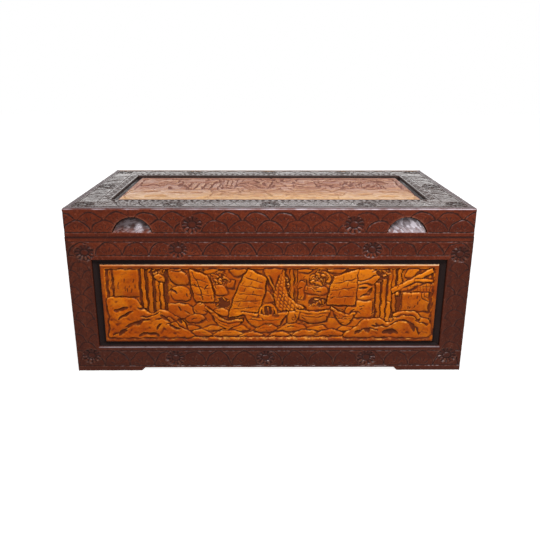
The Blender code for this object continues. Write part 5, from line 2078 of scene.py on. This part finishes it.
    def cut_feet(self, rail: Object) -> None:
        """Saws the arch out of the bottom rail, which leaves its two feet."""
        reach, rise, ramp = self.outer[1] - self.foot, self.arch_rise, self.ramp
        outline = [
            (-reach - ramp, -rise), (-reach - 1, 0.6), (-reach + ramp, rise),
            (reach - ramp, rise), (reach + 1, 0.6), (reach + ramp, -rise),
        ]
        u, v = np.array(outline).T
        outside, inside = (self.face.to_chest(u, v, np.full(len(u), out)) for out in (30.0, -30.0))
        bpy.ops.object.select_all(action="DESELECT")
        bpy.ops.mesh.primitive_circle_add(vertices=len(outline), fill_type="NGON")
        cutter = bpy.context.object
        cutter.data.vertices.foreach_set("co", outside.astype(np.float32).ravel())
        with editing(cutter):
            way = Vector(inside[0] - outside[0])
            bpy.ops.mesh.extrude_region_move(TRANSFORM_OT_translate={"value": way})
            bpy.ops.mesh.select_all(action="SELECT")
            bpy.ops.mesh.normals_make_consistent(inside=False)
        cut_away(rail, cutter)

    def build(self) -> None:
        """Builds the wall."""
        self.make_frame()
        filling = Filling(
            self.prefix, self.face, self.opening, self.ends, Body.CARCASE, self.grains, self.picture,
            self.drawn,
        )
        filling.build()


@dataclass
class Filling:
    """The cove mouldings and the carved panel in a frame's opening.

    Attributes:
        prefix: How the nodes' names start.
        face: The face that they lie in.
        opening: The frame's opening.
        ends: The names of its left and right sides.
        body: The body that they ride on.
        grains: The grain of level and of upright pieces.
        picture: Carves the panel.
        drawn: Half-width of the field that the picture is drawn for.
        names: The names of its low and high sides.
        rim: Width of the panel's bead.
        cove: Depth of a moulding's hollow.
        varnish: The panel's finish.
        thickness: Thickness of the panel.
        spacing: Distance between points of its carving.
    """

    prefix: str
    face: Face
    opening: Box
    ends: tuple[str, str]
    body: Body
    grains: tuple[Grain, Grain]
    picture: Callable[[Relief], None]
    drawn: float
    names: tuple[str, str] = ("bottom", "top")
    rim: float = 7.4
    cove: float = 3.0
    varnish: WoodFinish = VARNISHED
    thickness: float = 8.0
    spacing: float = 1.25

    def __post_init__(self) -> None:
        """Reads the panel's rectangle from the CAD."""
        self.panel = self.face.rect(f"{self.prefix}_panel")

    def make_mouldings(self) -> None:
        """Builds the four mitred coves."""
        left, right, low, high = self.opening
        ring = (left + GAP, right - GAP, low + GAP, high - GAP)
        widths = (self.panel[2] - low - 2 * GAP, right - self.panel[1] - 2 * GAP) * 2
        sink = self.face.sink(f"{self.prefix}_{self.names[0]}_moulding")
        sides = (self.names[0], self.ends[1], self.names[1], self.ends[0])
        for turn, (corner, length) in enumerate(ring_sides(ring)):
            width = widths[turn]
            run = np.linspace(0, width, 19)
            hollow = self.cove * np.sin(np.pi * np.clip((run - 0.7) / (width - 1.4), 0, 1)) ** 0.9
            lip = np.maximum(rounding(run, 0.6), rounding(width - run, 0.6))
            lean = np.tile([0.0, 1.0], (len(run), 1))
            section = Section(run, hollow, lean, run, lip, [(width, 4.0), (0.0, 4.0)])
            mitre = EndCut(widths[turn - 1] / width)
            node = f"{self.prefix}_{sides[turn]}_moulding"
            board = SweptBoard(
                f"{node}_cove", self.face, corner, turn, length, section, mitre, mitre, 6.0, sink
            )
            dress(board.build(), self.body, Slot.EBONISED, EBONISED.material(self.grains[turn % 2]), node)

    def carve(self, relief: Relief) -> None:
        """Works the panel: its bead, its picture, and the painted highlight and shade on its beads."""
        left, right, low, high = self.panel
        u, v = relief.u, relief.v
        edge = np.minimum.reduce([u - left, right - u, v - low, high - v])
        relief.form = -1.2 * np.clip(edge / (self.rim / 2) - 1, -1, 1) ** 2
        self.picture(relief.drawn_by_hand(self.drawn / (right - self.rim - 2.1)))
        uneven = 0.5 + 0.5 * ripple(u, 0.2 * v, 50.0)
        # A painted highlight along the front panel's top bead, brighter towards the right.
        upper = (high - v < self.rim * 0.26) & (edge > high - v - 0.5) & (self.face is FRONT_FACE)
        lit = np.clip(0.3 + (u - left) / 330, 0, 1) * (0.75 + 0.25 * uneven)
        # The lid's panel is lighter towards the front.
        lighter_to_front = 0.7 * np.clip(0.1 - v / 110, 0, 1) if self.face is LID_FACE else 0.0
        relief.rubbed = np.where(upper, 0.8 * lit, np.where(edge < self.rim * 0.6, 0.0, lighter_to_front))
        # The other beads are painted in shade, more along the bottom.
        bead_shade = np.where(v - low < self.rim * 0.7, 0.36, 0.26) * (0.7 + 0.3 * uneven)
        relief.put((edge < self.rim) & ~upper, dirt=bead_shade)

    def build(self) -> None:
        """Builds the mouldings and the panel."""
        self.make_mouldings()
        left, right, low, high = self.panel
        node = f"{self.prefix}_panel"
        section = flat_section(high - low, self.thickness, self.spacing, outer=0.6, inner=0.6)
        board = SweptBoard(
            f"{node}_carved", self.face, (left, low), 0, right - left, section,
            spacing=self.spacing, sink=self.face.sink(node),
        )
        dress(board.build(self.carve), self.body, Slot.CARVING, self.varnish.material(self.grains[0]), node)


@dataclass
class FingerPull:
    """A half-moon scoop in the lid's front.

    Attributes:
        offset: Its distance from the chest's middle.
        radius: Radius of its arch, centred on the seam.
        floor: Height of its flat foot over the seam.
        deepest: Depth under the arch.
        shallow: Depth at the foot.
        marks: How many gouge marks it has.
    """

    offset: float = 303.5
    radius: float = 45.5
    floor: float = 10.5
    deepest: float = 11.0
    shallow: float = 0.8
    marks: int = 90

    def carve(self, relief: Relief, side: int) -> None:
        """Chisels the scoop and paints highlights and reflections on its facets.

        Args:
            relief: The relief that it is cut in.
            side: -1 at the left and 1 at the right.
        """
        centre, reach = side * self.offset, self.radius + 2
        area = relief.window((centre - reach, SEAM + self.floor - 2), (centre + reach, SEAM + reach))
        if area is None:
            return
        u, v = relief.u[area] - centre, relief.v[area] - SEAM
        out = np.hypot(u, v)
        inside = (out < self.radius) & (v > self.floor)
        share = np.clip((v - self.floor) / (self.radius - self.floor), 0, 1)
        wall = np.clip((self.radius - out) / 2.4, 0, 1)
        chance = np.random.default_rng(5 + side)
        nearest, tilt, shine = np.full(u.shape, np.inf), np.zeros(u.shape), np.zeros(u.shape)
        # Each facet gets a painted reflection of its own, bright on the right pull and faint on the left.
        lean = -0.9 if side > 0 else 0.25
        shines = [0.26, 0.44, 0.62, 0.84] if side > 0 else [0.03, 0.07, 0.12, 0.22]
        for _ in range(self.marks):
            du = u - chance.uniform(-self.radius, self.radius)
            dv = v - chance.uniform(self.floor, self.radius)
            away = np.hypot(0.45 * (du + lean * dv), dv - lean * du)
            closer = away < nearest
            nearest = np.where(closer, away, nearest)
            tilt = np.where(closer, 0.2 * (dv - lean * du), tilt)
            shine = np.where(closer, chance.choice(shines), shine)
        depth = (self.shallow + (self.deepest - self.shallow) * share**0.8 + tilt) * wall
        # A painted patch of glints on the left pull.
        if side < 0:
            spot = np.clip(1 - np.hypot(u - 14, 0.6 * (v - 16)) / 11, 0, 1)
            shine = shine + 1.1 * spot * np.mod(nearest, 2.0)
        # Reflections are painted inside the wall only, fainter upwards and brighter to the right.
        shine = np.clip(shine * (wall >= 1) * np.clip(1.15 - 0.5 * share + 0.012 * u, 0, 1), 0, 1)
        depth = np.clip(depth, 0, self.deepest)
        # The wall under the arch is cut deeper, which also paints it dark as shade.
        relief.put(inside, area, form=-depth, cuts=3.0 * (wall < 1), rubbed=shine)


@dataclass
class Lid:
    """The lid: its mitred aprons, its top frame, and the panel in it.

    Attributes:
        hinges: Gives the slope at the back.
        plain: Height of the plain band over the seam.
        rosettes: Places of the front rosettes, as uneven as the carver left them.
        edge: Radius of the lid's top edge.
        corner: Radius of its front corners.
        band: Width of the band of leaves round the top's opening.
        arch: Distance from scale to scale on the top.
        leaf: Distance from leaf to leaf.
    """

    hinges: Hinges
    plain: float = 10.5
    rosettes: tuple[float, float] = (-172.0, 186.0)
    edge: float = 5.0
    corner: float = 6.5
    band: float = 24.0
    arch: float = 54.0
    leaf: float = 15.0

    def __post_init__(self) -> None:
        """Reads the top frame's rectangles from the CAD."""
        left, right, low, _ = LID_FACE.rect("lid_frame_front")
        self.outer = (left, right, low, LID_FACE.rect("lid_frame_back")[3])
        self.opening = opening_round(LID_FACE, "lid_front_moulding", "lid_back_moulding")

    def carve_apron(self, relief: Relief, half: float, front: bool) -> None:
        """Works an apron's face: two rows of scales over a plain band, rosettes and the finger pulls.

        Args:
            relief: The relief that it is cut in.
            half: Half the apron's length.
            front: Whether it is the front one.
        """
        low, high = SEAM + self.plain, SEAM + 60.0
        count = round(2 * half / 60)
        pitch = 2 * half / count
        for index in range(count + 1):
            Scale(pitch / 2, 26.0).carve(relief, (-half + index * pitch, low + 21))
        for index in range(count):
            Scale(pitch / 2, 27.0).carve(relief, (-half + (index + 0.5) * pitch, low + 1))
        relief.put(relief.v > high + 1, form=0, cuts=0)
        draw_line(relief, -half, half, low)
        # Painted shade along the seam.
        relief.put(relief.v - SEAM < 1.6, dirt=0.5)
        if front:
            for side, flower in zip((-1, 1), self.rosettes):
                Rosette(22.0).carve(relief, (flower, SEAM + 28))
                FingerPull().carve(relief, side)
        relief.roughen()
        # A painted highlight along the top arris, brighter towards the right, and the top strip painted dark
        # and greyish like the sheen over the lid's top.
        arris = np.clip(1.6 - np.abs(relief.v - SEAM - 64.0) / 1.2, 0, 1)
        slow = 0.5 + 0.5 * ripple(relief.u, 0 * relief.v, 22.0)
        top = np.clip((relief.v - SEAM - 65.0) / 3.0, 0, 1)
        shiny = arris * np.clip(slow + 0.1 + relief.u / 700, 0.05, 0.8)
        relief.rubbed = np.maximum.reduce([relief.rubbed, shiny, 0.12 * top])
        relief.dirt = np.maximum(relief.dirt, 0.6 * top)

    def make_aprons(self) -> None:
        """Builds the three carved aprons. The back one stays as the CAD has it."""
        section = rim_section(CAD_BOX[1].z * MM - SEAM, self.edge, 14.0, 22.6, 22.0)
        mitred, sawn = EndCut(0, True, self.corner), EndCut(0, True, 0.5)
        sides = (
            ("front", FRONT_FACE, HALF_LENGTH, mitred, mitred, Grain.X),
            ("left", LEFT_FACE, HALF_DEPTH, sawn, mitred, Grain.Y),
            ("right", RIGHT_FACE, HALF_DEPTH, mitred, sawn, Grain.Y),
        )
        for name, face, half, start, end, grain in sides:
            node = f"lid_{name}_apron"
            board = SweptBoard(f"{node}_carved", face, (-half, SEAM), 0, 2 * half, section, start, end)
            piece = board.build(partial(self.carve_apron, half=half, front=name == "front"))
            if name != "front":
                bevel_off(piece, *self.hinges.groove(1))
            dress(piece, Body.LID, Slot.HARDWOOD, HARDWOOD.material(grain), node)

    def carve_top(self, relief: Relief) -> None:
        """Works the lid's top frame: a row of scales with rosettes, and a band of leaves inside it."""
        right, high = self.opening[1], self.opening[3]
        reach_u, reach_v = self.outer[1] - 3, self.outer[3] - 3
        band_u, band_v = right + self.band, high + self.band
        scale = Scale(self.arch / 2, reach_v - band_v - 2, line=5.0)
        wide, tall = int(right // self.leaf), int(high // self.leaf)
        for side in (-1, 1):
            for index in range(-8, 9):
                scale.carve(relief, (index * self.arch, side * (band_v + 1)), (0.0, float(side)))
            for index in range(-2, 3):
                scale.carve(relief, (side * (band_u + 1), index * self.arch), (float(side), 0.0))
            for index in range(-wide, wide + 1):
                place = (index * self.leaf, side * (high + self.band / 2))
                relief.scoop(place, (9.0, 3.4), 1.5, 62 if index % 2 else 118)
            for index in range(-tall, tall + 1):
                place = (side * (right + self.band / 2), index * self.leaf)
                relief.scoop(place, (9.0, 3.4), 1.5, 28 if index % 2 else -28)
        for u, v in ((reach_u, reach_v), (band_u, band_v), (right + 5, high + 5)):
            relief.incise([(-u, -v), (u, -v), (u, v), (-u, v), (-u, -v)], 4.0, 1.4)
        flowers = [(u, side * 193.0) for u in (-217, 0, 217) for side in (-1, 1)]
        flowers += [(side * 420.0, v) for v in (-190, 0, 190) for side in (-1, 1)]
        for place in flowers:
            Rosette(22.0, squash=1.0).carve(relief, place)
        relief.roughen()

    def make_top(self) -> None:
        """Builds the four mitred members of the top frame."""
        section = flat_section(self.opening[2] - self.outer[2], 12.0, 1.2, outer=0.5, inner=1.5)
        mitre = EndCut(1.0)
        for turn, (corner, length) in enumerate(ring_sides(self.outer)):
            node = f"lid_frame_{('front', 'right', 'back', 'left')[turn]}"
            board = SweptBoard(
                f"{node}_carved", LID_FACE, corner, turn, length, section, mitre, mitre, 1.2
            )
            grain = Grain.Y if turn % 2 else Grain.X
            # The top frame takes the hardwood with its sheen painted in.
            dress(board.build(self.carve_top), Body.LID, Slot.HARDWOOD, SHEEN_HARDWOOD.material(grain), node)

    def build(self) -> None:
        """Builds the lid's carved pieces."""
        self.make_aprons()
        self.make_top()
        # The lid's panel takes the camphor with its sheen painted in.
        filling = Filling(
            "lid", LID_FACE, self.opening, ("left", "right"), Body.LID, (Grain.X, Grain.Y), carve_lid, 348.5,
            ("front", "back"), varnish=SHEEN_CAMPHOR, thickness=7.5, spacing=1.4,
        )
        filling.build()


@dataclass
class PlainBoards:
    """The boards that nobody carves, which keep their CAD solids and get their wood.

    Attributes:
        camphor: The boards with their grain along the chest.
        camphor_across: The boards with their grain across it.
        stained: The boards that are stained on the outside.
    """

    camphor: Sequence[str] = (
        "front_board", "bottom_board_1", "bottom_board_2", "bottom_board_3", "front_lip", "lid_board_1",
        "lid_board_2",
    )
    camphor_across: Sequence[str] = (
        "left_end_board", "right_end_board", "left_lip", "right_lip", "left_cleat", "right_cleat",
    )
    stained: Sequence[str] = ("back_board", "lid_back_apron")

    def build(self) -> None:
        """Gives each board its wood, with the grain along its length."""
        groups = (
            (self.camphor, CAMPHOR.material(Grain.X)),
            (self.camphor_across, CAMPHOR.material(Grain.Y)),
            (self.stained, STAINED_OUTSIDE.material(Grain.X)),
        )
        for nodes, material in groups:
            for node in nodes:
                keep_solid(node, material)


@dataclass
class Studio:
    """The plain floor, the soft lights and the camera.

    Attributes:
        camera_place: Where the camera stands, in metres.
        yaw: Its turn to the right, in degrees.
        pitch: Its tilt down.
        roll: Its lean.
        lens: Focal length over a 36 mm sensor.
        shift: Vertical shift of the frame.
        dim: Strength of the world as a light.
        glow: How much of the floor's white comes from itself.
    """

    camera_place: tuple[float, float, float] = (-0.0096, -1.3517, 0.6932)
    yaw: float = 0.492
    pitch: float = 16.106
    roll: float = 0.138
    lens: float = 35.57
    shift: float = -0.0885
    dim: float = 0.28
    glow: float = 0.88

    def make_camera(self) -> None:
        """Stands the camera where the photograph was taken from."""
        camera = bpy.data.cameras.new("photograph")
        camera.lens = self.lens
        camera.sensor_width = 36.0
        camera.shift_y = self.shift
        stand = bpy.data.objects.new("photograph", camera)
        bpy.context.scene.collection.objects.link(stand)
        yaw, pitch, roll = (math.radians(angle) for angle in (self.yaw, self.pitch, self.roll))
        ahead = Vector((math.sin(yaw) * math.cos(pitch), math.cos(yaw) * math.cos(pitch), -math.sin(pitch)))
        level = Vector((math.cos(yaw), -math.sin(yaw), 0))
        over = level.cross(ahead)
        right = math.cos(roll) * level + math.sin(roll) * over
        over = math.cos(roll) * over - math.sin(roll) * level
        turned = Matrix((right, over, -ahead)).transposed().to_4x4()
        stand.matrix_world = Matrix.Translation(self.camera_place) @ turned
        bpy.context.scene.camera = stand

    def make_light(self, name: str, place: Vector, target: Vector, size: Point, power: float) -> None:
        """Hangs one soft rectangular light.

        Args:
            name: The light's name.
            place: Where it hangs, in metres.
            target: What it points at.
            size: Its width and its height.
            power: Its power in watts.
        """
        lamp = bpy.data.lights.new(name, "AREA")
        lamp.shape = "RECTANGLE"
        lamp.size, lamp.size_y = size
        lamp.energy = power
        stand = bpy.data.objects.new(name, lamp)
        bpy.context.scene.collection.objects.link(stand)
        stand.location = place
        stand.rotation_euler = (target - place).to_track_quat("-Z", "Y").to_euler()

    def seen(self, wiring: Wiring) -> Socket:
        """Gives 1 to camera, glossy and transmission rays and 0 to others."""
        paths = wiring.add("LightPath")
        seen = wiring.sum("MAXIMUM", paths.outputs["Is Camera Ray"], paths.outputs["Is Transmission Ray"])
        return wiring.sum("MAXIMUM", seen, paths.outputs["Is Glossy Ray"])

    def make_world(self) -> None:
        """Makes a background that is white to the camera and in reflections, and dim as a light."""
        world = bpy.data.worlds.new("studio")
        bpy.context.scene.world = world
        world.use_nodes = True
        wiring = Wiring(world.node_tree)
        light = world.node_tree.nodes["Background"]
        light.inputs["Color"].default_value = (1, 1, 1, 1)
        wiring.feed(light, "Strength", wiring.spread(self.seen(wiring), 0.0, 1.0, self.dim, 1.0))

    def make_floor(self) -> None:
        """Lays a wide pale floor, white to the camera but for the chest's shadow."""
        bpy.ops.object.select_all(action="DESELECT")
        bpy.ops.mesh.primitive_plane_add(size=14.0, location=(0, 0, 0))
        floor = bpy.context.object
        floor.name = "floor"
        made, wiring, shader = start_material("floor")
        shader.inputs["Base Color"].default_value = (0.45, 0.45, 0.45, 1)
        shader.inputs["Roughness"].default_value = 0.9
        shader.inputs["Specular IOR Level"].default_value = 0.0
        shader.inputs["Emission Color"].default_value = (1, 1, 1, 1)
        wiring.feed(shader, "Emission Strength", wiring.times(self.seen(wiring), self.glow))
        floor.data.materials.append(made)

    def build(self) -> None:
        """Sets the stage."""
        self.make_camera()
        self.make_world()
        self.make_floor()
        middle = Vector((0, 0, 0.2))
        self.make_light("softbox", Vector((0.15, -0.95, 1.5)), middle, (0.8, 0.3), 21.0)
        self.make_light("fill", Vector((0.9, -1.9, 0.9)), middle, (0.5, 0.5), 5.0)
        self.make_light("window", Vector((0.0, 2.2, 1.0)), middle, (2.6, 0.6), 15.0)
        bpy.context.scene.view_settings.view_transform = "Standard"


def main() -> None:
    """Dresses the chest, piece by piece."""
    logging.basicConfig(level=logging.INFO, format="%(name)s: %(message)s")
    make_grain_group()
    make_wax_and_light_group()
    hinges = Hinges()
    end_flowers = [(0.0, 304.0), (0.0, 34.0)] + [(side * 192.0, v) for side in (-1, 1) for v in (293.0, 40.0)]
    front_flowers = [(-205.0, 304.0), (229.0, 304.0), (-222.0, 34.0), (-10.0, 34.0), (229.0, 34.0)]
    front_flowers += [(-414.0, 297.0), (427.0, 293.0), (-420.0, 40.0), (420.0, 40.0)]
    front = (carve_front, 378.0, front_flowers, hinges, 152.0)
    end = (carve_end, 150.5, end_flowers, hinges, 105.0)
    walls = (
        FramedWall("front", FRONT_FACE, ("left", "right"), (True, True), *front),
        FramedWall("left_end", LEFT_FACE, ("back", "front"), (False, True), *end),
        FramedWall("right_end", RIGHT_FACE, ("front", "back"), (True, False), *end),
    )
    for wall in walls:
        wall.build()
    Lid(hinges).build()
    PlainBoards().build()
    hinges.build()
    Studio().build()


if __name__ == "__main__":
    main()
